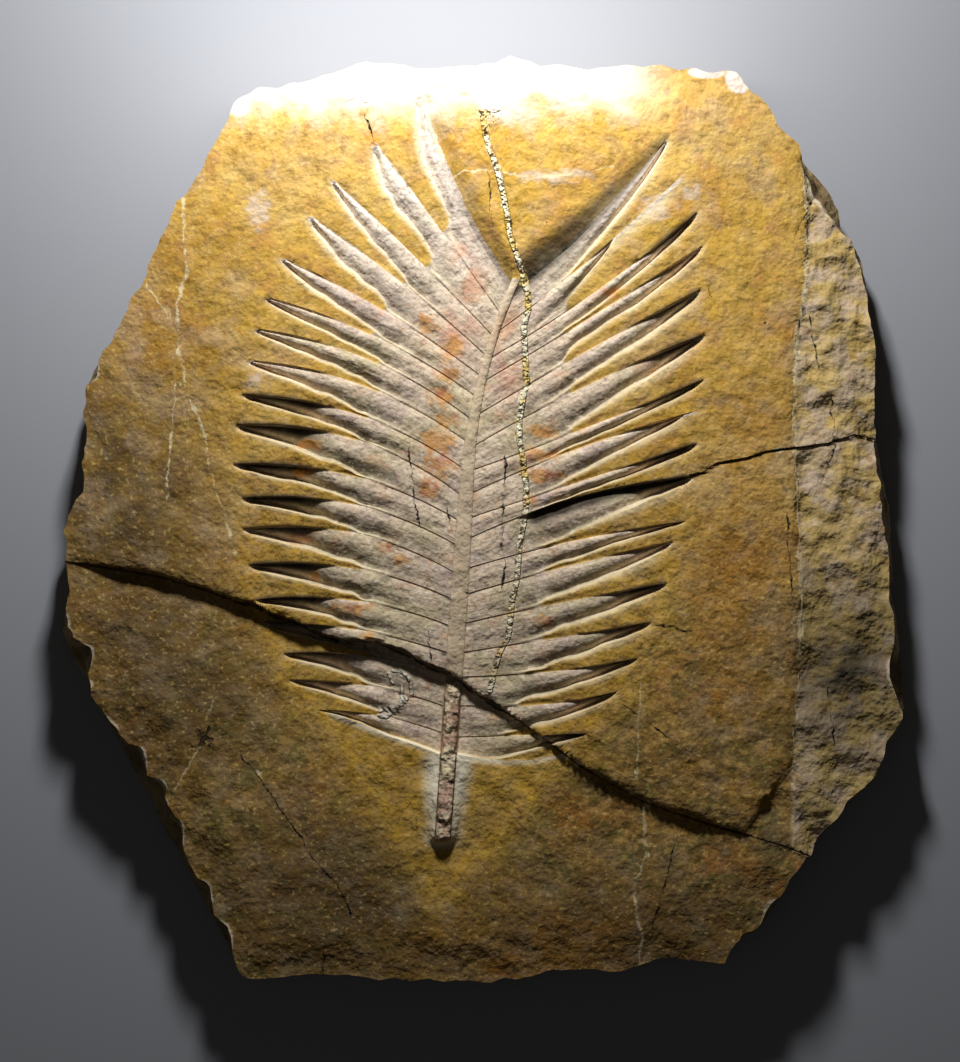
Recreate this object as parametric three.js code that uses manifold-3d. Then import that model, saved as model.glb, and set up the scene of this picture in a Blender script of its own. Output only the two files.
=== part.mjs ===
// Fossil cycad leaf: a broken stone slab with the sunk print of a leaf on its face.
// Millimetres, +Z up. The slab lies flat on its back at z = 0 with the leaf facing +Z,
// the stalk pointing to -Y and the leaf's tip to +Y.

import * as THREE from 'three';
import { ParametricGeometry } from 'three/addons/geometries/ParametricGeometry.js';
import { mergeVertices } from 'three/addons/utils/BufferGeometryUtils.js';
import Module from 'manifold-3d';

// ---- driving dimensions -------------------------------------------------------------

const THICKNESS = 34;        // face of the main block above the flat back
const LEAF_DEPTH = 3.4;      // the leaf's floor below the face, beside the midrib
const SHINGLE = 0.4;         // half the step from one leaflet to the next, near the midrib
const FLOOR_SLOPE = 1.3;     // fall of a leaflet's floor from its upper to its lower edge
const MIDRIB_RISE = 1.1;     // the midrib's crown above the leaf's floor
const STALK_RISE = 4.2;      // the stalk's cut end above the face
const EDGE_FALL = 2.2;       // how far the face rounds off at the slab's edge
const EDGE_WIDTH = 22;       // over this distance from the rim
const WIDEST_AT = 0.42;      // height of the broken side's furthest point, of THICKNESS
const BACK_INSET = 4;        // the back's outline inside the furthest one

const APEX_Y = 107;          // tip of the midrib, where the two topmost leaflets part
const WEDGE_TOP_Y = 150;     // far end of the centre line inside the wedge of bare stone
const LEAF_FOOT_Y = -105;    // lower edge of the leaf at the midrib
const STALK_END_Y = -139;    // centre of the stalk's rounded end

const CENTRE_X = -8.2;       // x of the midrib's centre line at y = 0
const CENTRE_LEAN = 0.0675;  // its lean to the right
const BEND_FROM = 20;        // above this y it also bends to the right
const BEND = 0.0021;         // how sharply
const APEX_LEAN = 0.12;      // lean to the left of its continuation above the apex
const MIDRIB_WIDTHS = [4.1, 1.8]; // half-width of the midrib below and above
const MIDRIB_NARROWS = [-40, 90]; // between these
const APEX_WIDTH = 0.5;      // half-width where no midrib is left

const WEDGE_RAYS = 7;        // rays over the bare wedge, on each side
const LEAF_RAYS = 95;        // rays over the leaflets, on each side
const STALK_RAYS = 9;        // rays below the leaf, on each side
const STALK_SIDE_SHARE = 5 / 9;  // share of those that start on the stalk's straight side
const SLIT_X = -4;           // the back closes on a straight line down its middle
const SLIT_HALF = 120;       // half that line's length
const LINING = 3;            // overlap that keeps cutting surfaces off the slab's own
const REACH = 260;           // half-size of the cutting shapes, past the slab on all sides
const MERGE = 1e-3;          // corners closer than this are one

// Stations along a ray: fractions of the leaflet's length, then of the bare margin.
const LEAF_STATIONS = [0, 0.16, 0.32, 0.46, 0.6, 0.72, 0.84, 0.94, 1];
const MARGIN_STATIONS = [0.35, 0.68, 0.88, 1];

// Stations across a leaflet: 0 is its upper edge and 1 the next leaflet's.
const FLOOR_TOP = 0.2;
const FLOOR_MIDDLE = 0.4;
const FLOOR_FOOT = 0.6;
const WALL_TOP = 0.8;

// Shares of a leaflet's length from the midrib between which its relief changes.
const CREST_RISES = [0.36, 0.84];   // the stone between two leaflets rises to the face
const HOLLOW_OPENS = [0.22, 0.5];   // overlapping shingles turn into separate hollows
const POCKET_SINKS = [0.5, 0.86];   // the floor goes down to the pocket's depth
const POCKET_CLOSES = [0.94, 1];    // the hollow's end wall comes up to the point

// Shares of the distance from a leaflet's upper edge to the next leaflet's.
const FLOOR_SHARE = 0.9;     // the floor's share, up to where it tapers
const TAPER_LENGTH = 0.6;    // the floor tapers over this last part of the leaflet
const TAPER_POWER = 0.75;    // how bluntly it does
const NARROWEST = 0.03;      // the floor's share at the point
const UPPER_WALL = 0.06;     // run of the wall down to the floor
const TOP_UPPER_WALL = 0.3;  // the same for the topmost leaflet, which slopes in gently
const LOWER_WALL = [0.07, 0.12];  // run of the wall up from the floor, at midrib and point
const FLOOR_HUMP = 0.5;      // height of the floor's middle above a straight slope

const CRACK_FADE = 60;       // half of the crack's step dies away over this distance
const SHOULDER = 0.7;        // the midrib's crown rounds down from here, of its half-width
const MIDRIB_FOOT = 0.6;     // the crown above the face where the midrib meets the stalk
const CROWN_RUN = 36;        // length over which the crown comes up to that
const STALK_TOP = 2.5;       // half-width of the stalk's level top
const STALK_FLANKS = [13, 8];     // its half-width at the foot, by the leaf and at its end
const STALK_BEGINS = [-135, -99]; // it rises from the second y to the first
const STALK_CUT = [-146, -140];   // its end falls to the face from the second y to the first
const STALK_FOOT_REACH = 34; // the rays below the stalk reach this far past its end
const WEDGE_REACH = [-3, 44];     // middle ray of the wedge, from its start to its end

// ---- the leaflets -------------------------------------------------------------------

// Each row is the upper edge of one leaflet, from the leaf's tip down: y of its root on
// the midrib, x and y of its point, how far it bows up from a straight line, the depth
// of the pocket at its point, and how much of its length is laid bare. The last row is
// the lower edge of the leaf.
const LEFT_EDGES = [
  [107, -27, 191, -3.0, 1.0, 1],
  [92, -48, 168, 0.5, 1.8, 1],
  [82, -67, 151, 1.0, 1.8, 1],
  [73, -77, 135, 2.0, 2.0, 1],
  [64, -90, 116, 3.0, 2.0, 1],
  [55, -97, 98, 5.0, 2.4, 1],
  [45, -102, 84, 7.0, 2.6, 1],
  [35, -105, 70, 7.4, 2.8, 1],
  [23, -107, 55, 7.6, 4.4, 1],
  [11.5, -110, 41.5, 9.5, 4.4, 1],
  [0, -111, 24, 7.8, 5.6, 1],
  [-11, -107, 9, 7.8, 6.0, 1],
  [-23, -107, -4.5, 8.0, 4.0, 1],
  [-35, -104, -20.5, 6.2, 4.6, 1],
  [-47, -101, -36, 5.5, 4.6, 1],
  [-59, -98, -46, 3.5, 4.0, 1],
  [-71, -89, -60, 4.5, 4.0, 1],
  [-83, -87, -71.5, 3.0, 3.0, 1],
  [-95, -74, -85, 2.5, 2.2, 1],
  [LEAF_FOOT_Y, -68, -90, 1.0, 0, 1],
];

const RIGHT_EDGES = [
  [107, 82, 169, -2.2, 3.6, 1],
  [84, 88, 152, -1.9, 3.2, 0.6],
  [72, 95, 136, -2.8, 4.4, 1],
  [62, 98, 121.5, -0.8, 2.8, 1],
  [47, 97, 102, 1.0, 3.8, 1],
  [33, 99, 82, 2.6, 4.4, 1],
  [22, 98, 62, -1.0, 4.2, 1],
  [12, 96, 48, 2.5, 2.6, 0.93],
  [1, 95, 33.5, 0, 4.8, 1],
  [-8, 94, 19, 4.5, 5.2, 1],
  [-21.5, 90, -1, 2.0, 3.0, 1],
  [-33, 85, -9.5, 1.0, 2.6, 1],
  [-46, 82, -28.5, 1.0, 4.6, 1],
  [-59, 75, -45.5, 0, 4.0, 1],
  [-70, 69, -61.5, -1.5, 3.8, 1],
  [-83, 60, -76, -2.5, 3.6, 1],
  [-97, 46, -95, 0, 4.8, 1],
  [LEAF_FOOT_Y, 38, -102.5, -3.2, 0, 1],
];

// ---- the slab's outline and its breaks ----------------------------------------------

// Furthest outline, anticlockwise from the top: x, y, and how far the edge of the face
// lies inside it where the rim is chipped off.
const OUTLINE = [
  [13, 208, 4], [5, 204.5, 4], [-10, 204.3, 4], [-22, 202, 4], [-33, 204, 4], [-52, 205, 4],
  [-58, 203, 4], [-68, 199.5, 4], [-80, 197, 4], [-92, 194, 4], [-102, 193.5, 5], [-110, 190, 6],
  [-114, 184, 5], [-117, 174, 3], [-123, 162, 3], [-131, 149, 3], [-137, 142, 4], [-142, 130, 3],
  [-149, 114, 3], [-154, 103, 3], [-159, 95, 3], [-165, 84, 4], [-173, 72, 5], [-179, 59, 4],
  [-179.5, 45, 4], [-179, 30, 3], [-180.5, 12, 4], [-186, 0, 4], [-189, -6, 4], [-186.5, -16, 3],
  [-185.5, -34, 3], [-190.5, -50, 6], [-186, -62, 12], [-181, -70, 8], [-176, -80, 4],
  [-168, -94, 4], [-161.5, -106, 9], [-156, -116, 8], [-149, -128, 12], [-144, -140, 13],
  [-138, -149, 8], [-132, -161, 6], [-125, -175, 8], [-118, -187, 7], [-112, -200, 4],
  [-108, -207, 3], [-95, -206, 3], [-80, -204.5, 3], [-60, -205.5, 3], [-35, -208, 3],
  [-15, -208, 3], [2, -209, 3], [14, -208, 4], [22, -206, 4], [32, -203.5, 3], [50, -202.5, 3],
  [64, -203.5, 3], [72, -200, 3], [85, -198, 3], [97, -199.5, 3], [108, -200, 3], [113, -191, 5],
  [123, -187, 6], [130, -178, 6], [139, -163, 5], [147, -150, 4], [157, -139, 5], [169, -125, 5],
  [178, -117, 5], [183, -102, 6], [190.5, -90, 4], [189, -75, 9], [188, -58, 8], [187, -45, 5],
  [184, -34, 4], [185, -22, 5], [184, -8, 6], [184, 2, 8], [181.5, 14, 7], [178, 32, 4],
  [176, 52, 3], [176, 75, 3], [174, 95, 4], [172, 113, 4], [169, 120, 4], [161.5, 132, 5],
  [160, 140, 8], [155, 149, 8], [147, 158, 6], [140.5, 167, 3], [133, 175, 3], [126, 185, 3],
  [119, 194, 4], [114, 201, 6], [108, 202, 6], [103, 200.5, 4], [95, 203, 4], [88, 201.5, 4],
  [80, 204, 4], [65, 204, 4], [48, 202, 4], [38, 204.5, 4], [25, 203.5, 4],
];
const OUTLINE_CENTRE = [-3, 10];

// Crack across the slab, from its left edge to its right: the stone below it lies lower.
const CRACK = [
  [-187, -19], [-165, -22], [-145, -25.5], [-125, -31], [-110, -36.5], [-101, -38.5],
  [-95, -42], [-82, -46.5], [-77, -50], [-70, -52.5], [-60, -54.5], [-48, -55],
  [-40, -57.5], [-32, -61], [-25, -65], [-12, -70.5], [-3, -78], [8, -84.5],
  [22, -94], [30, -100], [42, -109], [60, -119.5], [72, -126], [92, -133],
  [114, -139.5], [122, -142], [132, -145], [147, -151],
];

// Height of that step along the crack: x, step.
const CRACK_STEP = [
  [-187, 0.7], [-160, 1.7], [-140, 3.2], [-120, 3.4], [-100, 5.6], [-80, 7], [-60, 6.6],
  [-30, 4.2], [-10, 2.9], [20, 2.2], [50, 2.8], [70, 2.6], [95, 4.6], [115, 2.6], [147, 0.8],
];

// Ledge where the smooth face gives way to the rough right-hand margin, from the top down
// to the crack: the last four points bound the corner that has flaked off above the crack.
const LEDGE = [
  [139, 172], [142, 152], [143, 128], [142, 105], [139, 85], [137.5, 65], [137, 40],
  [138, 20], [139, 0], [140.5, -40], [139, -75], [137, -95], [137, -107], [128, -119],
  [120, -131], [114, -139.5],
];
// Lower limit of the margin, just under the crack.
const MARGIN_FOOT = [[123, -143], [148, -152], [REACH, -181]];
const CRACK_RUNS_OUT = [REACH, -180];  // the crack carried on past the slab's right edge
const LEDGE_X = 138;         // the ledge's usual x
const LEDGE_STEP = 1.9;      // height of the ledge
const MARGIN_SLOPE = 0.07;   // fall of the margin towards the slab's edge
const LUMPS = 0.9;           // height of the margin's lumps
const LUMPS_BELOW = 0.4;     // how far their middle lies below the margin, of that height

// ---- small tools --------------------------------------------------------------------

const clamp01 = (x) => Math.min(1, Math.max(0, x));
const mix = (a, b, t) => a + (b - a) * t;
const smoothstep = (low, high, x) => THREE.MathUtils.smoothstep(x, low, high);

// Value of a column at x in rows sorted by their first column, straight between rows.
function lookUp(rows, x, column = 1) {
  const last = rows.length - 1;
  if (x <= rows[0][0]) return rows[0][column];
  for (let i = 1; i <= last; i++) {
    if (x <= rows[i][0]) {
      const t = (x - rows[i - 1][0]) / (rows[i][0] - rows[i - 1][0]);
      return mix(rows[i - 1][column], rows[i][column], t);
    }
  }
  return rows[last][column];
}

// ---- levels of the face -------------------------------------------------------------

// Gentle swell of the whole face: one broad wave and one shorter, slanting one.
const BROAD_WAVE = 0.7;
const SLANTING_WAVE = 0.45;

function swell(x, y) {
  const broad = Math.sin(x / 47 + 0.8) * Math.cos(y / 61);
  const slanting = Math.sin((x + y) / 33 + 2);
  return BROAD_WAVE * broad + SLANTING_WAVE * slanting;
}

// How far the stone lies lower beyond the crack: the full step at the crack, half of it
// far away from it.
function crackDrop(x, y) {
  const distance = Math.max(0, lookUp(CRACK, x) - y);
  return lookUp(CRACK_STEP, x) * (1 + Math.exp(-distance / CRACK_FADE)) / 2;
}

// The rough margin lies below the smooth face, falls towards the edge and is lumpy.
function marginDrop(x, y) {
  const coarse = Math.sin(x / 6 + y / 19) * Math.sin(y / 8.5 - x / 15);
  const fine = Math.sin(y / 5 + x / 9) / 2;
  const slope = MARGIN_SLOPE * Math.max(0, x - LEDGE_X);
  return LEDGE_STEP + slope + LUMPS * (coarse + fine + LUMPS_BELOW);
}

// ---- the leaf -----------------------------------------------------------------------

// The midrib's centre line: straight low down, bending to the right towards the tip.
function centreLine(y) {
  const low = Math.min(y, APEX_Y);
  const past = Math.max(0, y - APEX_Y);
  return CENTRE_X + CENTRE_LEAN * low + BEND * Math.max(0, low - BEND_FROM) ** 2 - APEX_LEAN * past;
}

function midribHalfWidth(y) {
  return y > APEX_Y ? APEX_WIDTH : mix(...MIDRIB_WIDTHS, smoothstep(...MIDRIB_NARROWS, y));
}

// Half a leaf. `sign` is -1 on the left and +1 on the right.
class HalfLeaf {
  constructor(edges, sign) {
    this.edges = edges;
    this.sign = sign;
    this.count = edges.length - 1;
    this.starts = edges.map((_, k) => Math.round((LEAF_RAYS * k) / this.count));
    this.curves = edges.map((row) => this.edgeCurve(...row));
  }

  // Leaflet that a ray falls on, the ray's number within it and how many rays it has.
  leafletOf(ray) {
    let k = this.count - 1;
    while (this.starts[k] > ray) k--;
    return [k, ray - this.starts[k], this.starts[k + 1] - this.starts[k]];
  }

  // Upper edge of a leaflet: an arc from the midrib to its point.
  edgeCurve(rootY, tipX, tipY, bow) {
    const root = new THREE.Vector2(centreLine(rootY) + this.sign * midribHalfWidth(rootY), rootY);
    const tip = new THREE.Vector2(tipX, tipY);
    const chord = tip.clone().sub(root).normalize();
    const up = new THREE.Vector2(-chord.y, chord.x).multiplyScalar(Math.sign(chord.x) || 1);
    const middle = root.clone().add(tip).multiplyScalar(0.5).addScaledVector(up, 2 * bow);
    return new THREE.QuadraticBezierCurve(root, middle, tip);
  }

  // Height of the stone left standing along the upper edge of leaflet k.
  crest(k, q) {
    if (k === 0 || k === this.count) return 0;
    return (SHINGLE - LEAF_DEPTH) * (1 - smoothstep(...CREST_RISES, q));
  }

  // A point of leaflet k at `across`, 0 on its upper edge and 1 on the next leaflet's, and
  // q along it. Near the midrib the leaflets overlap like shingles. Further out each one
  // drops to its floor, crosses it, climbs the lower wall and follows the crest of the
  // stone between the leaflets, which widens towards the points.
  point(k, across, q) {
    const [, , , , pocket, reach] = this.edges[k];
    const bare = clamp01(q / reach);
    const taper = Math.min(1, ((1 - bare) / TAPER_LENGTH) ** TAPER_POWER);
    const floorWidth = Math.max(NARROWEST, FLOOR_SHARE * taper);
    const lip = Math.min(k === 0 ? TOP_UPPER_WALL : UPPER_WALL, floorWidth / 3);
    const wallTop = Math.min(1 - NARROWEST, floorWidth + mix(...LOWER_WALL, q));
    const c = lookUp([[0, 0], [FLOOR_TOP, lip], [FLOOR_FOOT, floorWidth], [WALL_TOP, wallTop],
      [1, 1]], across);

    const upperCrest = this.crest(k, q);
    const lowerCrest = this.crest(k + 1, q);
    const opening = smoothstep(...HOLLOW_OPENS, bare);
    const closing = smoothstep(...POCKET_CLOSES, bare);
    const sunk = mix(LEAF_DEPTH, pocket, smoothstep(...POCKET_SINKS, bare));
    const top = mix(-LEAF_DEPTH - SHINGLE, -sunk, opening);
    const foot = mix(-LEAF_DEPTH + SHINGLE, -sunk - FLOOR_SLOPE, opening);
    const middle = (top + foot) / 2 + FLOOR_HUMP * opening;
    const height = lookUp([[0, upperCrest], [FLOOR_TOP, mix(top, upperCrest, closing)],
      [FLOOR_MIDDLE, mix(middle, lowerCrest, closing)],
      [FLOOR_FOOT, mix(foot, lowerCrest, closing)],
      [WALL_TOP, lowerCrest], [1, lowerCrest]], across);

    const p = this.curves[k].getPoint(q).lerp(this.curves[k + 1].getPoint(q), c);
    return [p.x, p.y, height];
  }
}

const halves = [new HalfLeaf(LEFT_EDGES, -1), new HalfLeaf(RIGHT_EDGES, 1)];

// ---- rays from the centre line to the slab's edge -----------------------------------

const RAYS = WEDGE_RAYS + LEAF_RAYS + STALK_RAYS;

// Raised stalk with the stone scraped away beside it: height above the face.
function stalkHeight(x, y) {
  const along = 1 - smoothstep(...STALK_BEGINS, y);
  const beside = Math.abs(x - centreLine(y));
  const flank = mix(...STALK_FLANKS, along);
  const end = smoothstep(...STALK_CUT, y);
  return STALK_RISE * along * (1 - smoothstep(STALK_TOP, flank, beside)) * end;
}

// A ray over bare stone: straight from start to end, bowed like the leaf edge next to it.
function bareRay(start, end, edge, nearness, q) {
  const p = start.clone().lerp(end, q);
  const straight = edge.v0.clone().lerp(edge.v2, q);
  p.addScaledVector(edge.getPoint(q).sub(straight), nearness);
  return [p.x, p.y, stalkHeight(p.x, p.y)];
}

// Above the midrib the rays start on the line straight on through the wedge.
function wedgeRay(half, share, q) {
  const edge = half.curves[0];
  const top = new THREE.Vector2(centreLine(WEDGE_TOP_Y), WEDGE_TOP_Y);
  const start = top.clone().lerp(edge.v0, share);
  const far = new THREE.Vector2(...WEDGE_REACH).add(top);
  const end = far.lerp(edge.v2, share);
  return bareRay(start, end, edge, share, q);
}

// Around the stalk the rays first run out from its side, then fan about its rounded end.
function stalkRay(half, share, q) {
  const edge = half.curves[half.count];
  const y = stalkY(share);
  const turn = smoothstep(STALK_SIDE_SHARE, 1, share) * (Math.PI / 2);
  const width = midribHalfWidth(y);
  const start = new THREE.Vector2(
    centreLine(y) + half.sign * width * Math.cos(turn), y - width * Math.sin(turn));
  const foot = new THREE.Vector2(centreLine(STALK_END_Y), STALK_END_Y - STALK_FOOT_REACH);
  return bareRay(start, edge.v2.clone().lerp(foot, share), edge, 1 - share, q);
}

function stalkY(share) {
  return mix(LEAF_FOOT_Y, STALK_END_Y, Math.min(1, share / STALK_SIDE_SHARE));
}

// Ray j of one half at q: 0 on the midrib's side, 1 at the leaflets' points.
function leafZone(half, j, q) {
  if (j < WEDGE_RAYS) return wedgeRay(half, j / WEDGE_RAYS, q);
  const below = j - WEDGE_RAYS - LEAF_RAYS;
  if (below > 0) return stalkRay(half, below / STALK_RAYS, q);
  const [k, m, rays] = half.leafletOf(j - WEDGE_RAYS);
  const across = lookUp([[0, 0], [1, FLOOR_TOP], [rays - 2, FLOOR_FOOT], [rays - 1, WALL_TOP],
    [rays, 1]], m);
  return half.point(k, across, q);
}

// Where ray j of one half would leave the leaf if the rays were spread evenly.
function evenTip(half, j) {
  const ray = j - WEDGE_RAYS;
  if (ray < 0 || ray > LEAF_RAYS) return leafZone(half, j, 1);
  const [k, m, rays] = half.leafletOf(ray);
  return half.curves[k].v2.clone().lerp(half.curves[k + 1].v2, m / rays).toArray();
}

// y on the centre line where ray j of one half starts.
function centreY(half, j) {
  if (j < WEDGE_RAYS) return mix(WEDGE_TOP_Y, APEX_Y, j / WEDGE_RAYS);
  const below = j - WEDGE_RAYS - LEAF_RAYS;
  if (below > 0) return stalkY(below / STALK_RAYS);
  const [k, m, rays] = half.leafletOf(j - WEDGE_RAYS);
  return mix(half.edges[k][0], half.edges[k + 1][0], m / rays);
}

// The midrib's crown: a low ridge on the leaf's floor that becomes the raised stalk.
function crownHeight(x, y) {
  if (y >= APEX_Y) return 0;
  const sunk = smoothstep(LEAF_FOOT_Y, LEAF_FOOT_Y + CROWN_RUN, y);
  return mix(MIDRIB_FOOT, MIDRIB_RISE - LEAF_DEPTH, sunk) + stalkHeight(x, y);
}

// ---- the slab -----------------------------------------------------------------------

const polar = OUTLINE.map(([x, y, inset]) => {
  const turn = Math.atan2(y - OUTLINE_CENTRE[1], x - OUTLINE_CENTRE[0]);
  return [turn, x, y, inset];
}).sort((a, b) => a[0] - b[0]);
const wrapped = [
  ...polar.slice(-1).map(([turn, ...rest]) => [turn - 2 * Math.PI, ...rest]),
  ...polar,
  ...polar.slice(0, 1).map(([turn, ...rest]) => [turn + 2 * Math.PI, ...rest]),
];

// Point of the furthest outline in the direction of (x, y), and how far the chipped rim
// lies inside it there.
function outlineToward(x, y) {
  const turn = Math.atan2(y - OUTLINE_CENTRE[1], x - OUTLINE_CENTRE[0]);
  return [1, 2, 3].map((column) => lookUp(wrapped, turn, column));
}

// Point moved towards the outline's centre.
function movedIn([x, y], inset) {
  const out = new THREE.Vector2(x - OUTLINE_CENTRE[0], y - OUTLINE_CENTRE[1]);
  out.setLength(out.length() - inset);
  return [out.x + OUTLINE_CENTRE[0], out.y + OUTLINE_CENTRE[1]];
}

// One ray of the slab's skin as a list of points, from the centre line over the face, the
// rim and the side to the middle of the back. `drop` lowers the face, and `grow` pushes
// the side and the back outwards.
function skinRay(half, j, drop, grow) {
  const face = (x, y, height) => [x, y, THICKNESS + swell(x, y) + height - drop(x, y)];
  const middleY = (centreY(halves[0], j) + centreY(halves[1], j)) / 2;
  const middle = [centreLine(middleY), middleY];
  const root = leafZone(half, j, 0);
  const shoulder = [0, 1].map((axis) => mix(middle[axis], root[axis], SHOULDER));
  const crown = crownHeight(...middle);
  const points = [
    face(...middle, crown),
    face(...shoulder, mix(root[2], Math.max(crown, root[2]), SHOULDER)),
    ...LEAF_STATIONS.map((q) => face(...leafZone(half, j, q))),
  ];

  const tip = leafZone(half, j, 1);
  const [edgeX, edgeY, chip] = outlineToward(...evenTip(half, j));
  const rim = movedIn([edgeX, edgeY], chip);
  const width = Math.hypot(rim[0] - tip[0], rim[1] - tip[1]);
  for (const share of MARGIN_STATIONS) {
    const x = mix(tip[0], rim[0], share);
    const y = mix(tip[1], rim[1], share);
    const fall = EDGE_FALL * (1 - smoothstep(0, EDGE_WIDTH, (1 - share) * width));
    points.push(face(x, y, stalkHeight(x, y) - fall));
  }

  const back = movedIn([edgeX, edgeY], BACK_INSET - grow);
  points.push([...movedIn([edgeX, edgeY], -grow), WIDEST_AT * THICKNESS]);
  points.push([...back, -grow]);
  points.push([SLIT_X, mix(SLIT_HALF, -SLIT_HALF, j / RAYS), -grow]);
  return points;
}

const wasm = await Module();
wasm.setup();

// Closed solid of a geometry: shared corners merged and triangles of no area left out.
function solidOf(geometry) {
  geometry.deleteAttribute('normal');
  geometry.deleteAttribute('uv');
  const merged = mergeVertices(geometry, MERGE);
  const corners = merged.index.array;
  const kept = [];
  for (let i = 0; i < corners.length; i += 3) {
    const [a, b, c] = corners.slice(i, i + 3);
    if (a !== b && b !== c && c !== a) kept.push(a, b, c);
  }
  return new wasm.Manifold(new wasm.Mesh({
    numProp: 3,
    vertProperties: new Float32Array(merged.attributes.position.array),
    triVerts: new Uint32Array(kept),
  }));
}

function slabSolid(drop, grow) {
  const turns = 2 * RAYS;
  const rays = Array.from({ length: turns + 1 }, (_, i) => (
    i <= RAYS ? skinRay(halves[1], i, drop, grow) : skinRay(halves[0], turns - i, drop, grow)));
  const rows = rays[0].length - 1;
  const skin = (u, v, target) => {
    const i = Math.min(turns, Math.max(0, Math.round(u * turns)));
    const row = Math.min(rows, Math.max(0, Math.round(v * rows)));
    target.set(...rays[i][row]);
  };
  return solidOf(new ParametricGeometry(skin, turns, rows));
}

function prism(points) {
  const shape = new THREE.Shape(points.map(([x, y]) => new THREE.Vector2(x, y)));
  const geometry = new THREE.ExtrudeGeometry(shape, { depth: 3 * THICKNESS, bevelEnabled: false });
  return solidOf(geometry.translate(0, 0, -THICKNESS));
}

const belowCrack = prism([[-REACH, -REACH], [REACH, -REACH], CRACK_RUNS_OUT,
  ...CRACK.toReversed(), [-REACH, CRACK[0][1]]]);
const roughMargin = prism([[REACH, REACH], [LEDGE[0][0], REACH], ...LEDGE, ...MARGIN_FOOT]);

const level = () => 0;
const slab = slabSolid(level, 0)
  .subtract(belowCrack.subtract(slabSolid(crackDrop, LINING)))
  .subtract(roughMargin.subtract(slabSolid(marginDrop, LINING)));

// Mesh of a solid, with its middle over the origin.
function meshOf(solid, name, material) {
  const { vertProperties, triVerts } = solid.getMesh();
  const geometry = new THREE.BufferGeometry();
  geometry.setAttribute('position', new THREE.BufferAttribute(vertProperties, 3));
  geometry.setIndex(new THREE.BufferAttribute(triVerts, 1));
  geometry.computeBoundingBox();
  const middle = geometry.boundingBox.getCenter(new THREE.Vector3());
  geometry.translate(-middle.x, -middle.y, 0);
  geometry.computeVertexNormals();
  const mesh = new THREE.Mesh(geometry, material);
  mesh.name = name;
  return mesh;
}

const ochreStone = new THREE.MeshStandardMaterial({ color: 0xa98438, roughness: 0.9, metalness: 0 });

const group = new THREE.Group();
group.add(meshOf(slab, 'slab', ochreStone));

export default group;
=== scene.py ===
import math
import bpy
import numpy as np
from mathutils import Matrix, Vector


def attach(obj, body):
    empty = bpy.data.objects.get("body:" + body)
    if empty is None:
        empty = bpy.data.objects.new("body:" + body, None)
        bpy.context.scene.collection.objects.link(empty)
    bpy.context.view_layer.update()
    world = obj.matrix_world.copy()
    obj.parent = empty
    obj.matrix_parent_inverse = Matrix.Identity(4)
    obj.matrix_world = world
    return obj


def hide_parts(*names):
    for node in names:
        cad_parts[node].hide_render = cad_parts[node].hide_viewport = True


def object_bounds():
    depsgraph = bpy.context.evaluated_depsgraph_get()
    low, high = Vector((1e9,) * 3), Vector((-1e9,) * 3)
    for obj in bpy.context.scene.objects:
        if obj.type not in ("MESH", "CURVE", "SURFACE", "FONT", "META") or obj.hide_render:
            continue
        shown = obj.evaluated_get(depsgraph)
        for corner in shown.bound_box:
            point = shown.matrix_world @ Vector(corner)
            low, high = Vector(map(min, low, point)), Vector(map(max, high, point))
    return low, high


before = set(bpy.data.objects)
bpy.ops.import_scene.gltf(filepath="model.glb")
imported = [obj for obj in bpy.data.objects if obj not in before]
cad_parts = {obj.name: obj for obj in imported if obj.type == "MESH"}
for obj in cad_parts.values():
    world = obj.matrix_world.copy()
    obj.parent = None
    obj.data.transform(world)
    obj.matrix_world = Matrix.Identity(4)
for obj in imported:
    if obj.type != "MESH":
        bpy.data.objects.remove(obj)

cad_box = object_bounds()


# ======================================================================================
# Stone plate. One broken plate of fine yellow stone, split along its bedding, with the
# sunk print of a cycad leaf on its face. A crack crosses it, and the stone below the crack
# has slipped lower. Its sizes are millimetres: x to the right, y towards the leaf's tip.
# ======================================================================================

THICKNESS = 34.0          # face of the plate above its flat back
LEAF_DEPTH = 3.4          # the leaf's floor below the face, beside the midrib
SHALLOW = 1.3             # the floor below the face at two thirds of a leaflet's length
SHINGLE = 0.22            # half the step from one leaflet to the next, near the midrib
FLOOR_SLOPE = 1.3         # fall of a leaflet's floor from its upper to its lower edge
FLOOR_HUMP = 0.5          # height of the floor's middle above a straight slope
MIDRIB_RISE = 1.1         # the midrib's crown above the leaf's floor
MIDRIB_FOOT = 0.6         # the crown above the face where the midrib meets the stalk
STALK_RISE = 4.2          # the stalk's cut end above the face
APEX_Y = 107.0            # tip of the midrib
WEDGE_TOP_Y = 150.0       # far end of the centre line in the wedge of bare stone above it
LEAF_FOOT_Y = -105.0      # lower edge of the leaf at the midrib
STALK_END_Y = -139.0      # centre of the stalk's rounded end

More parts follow.
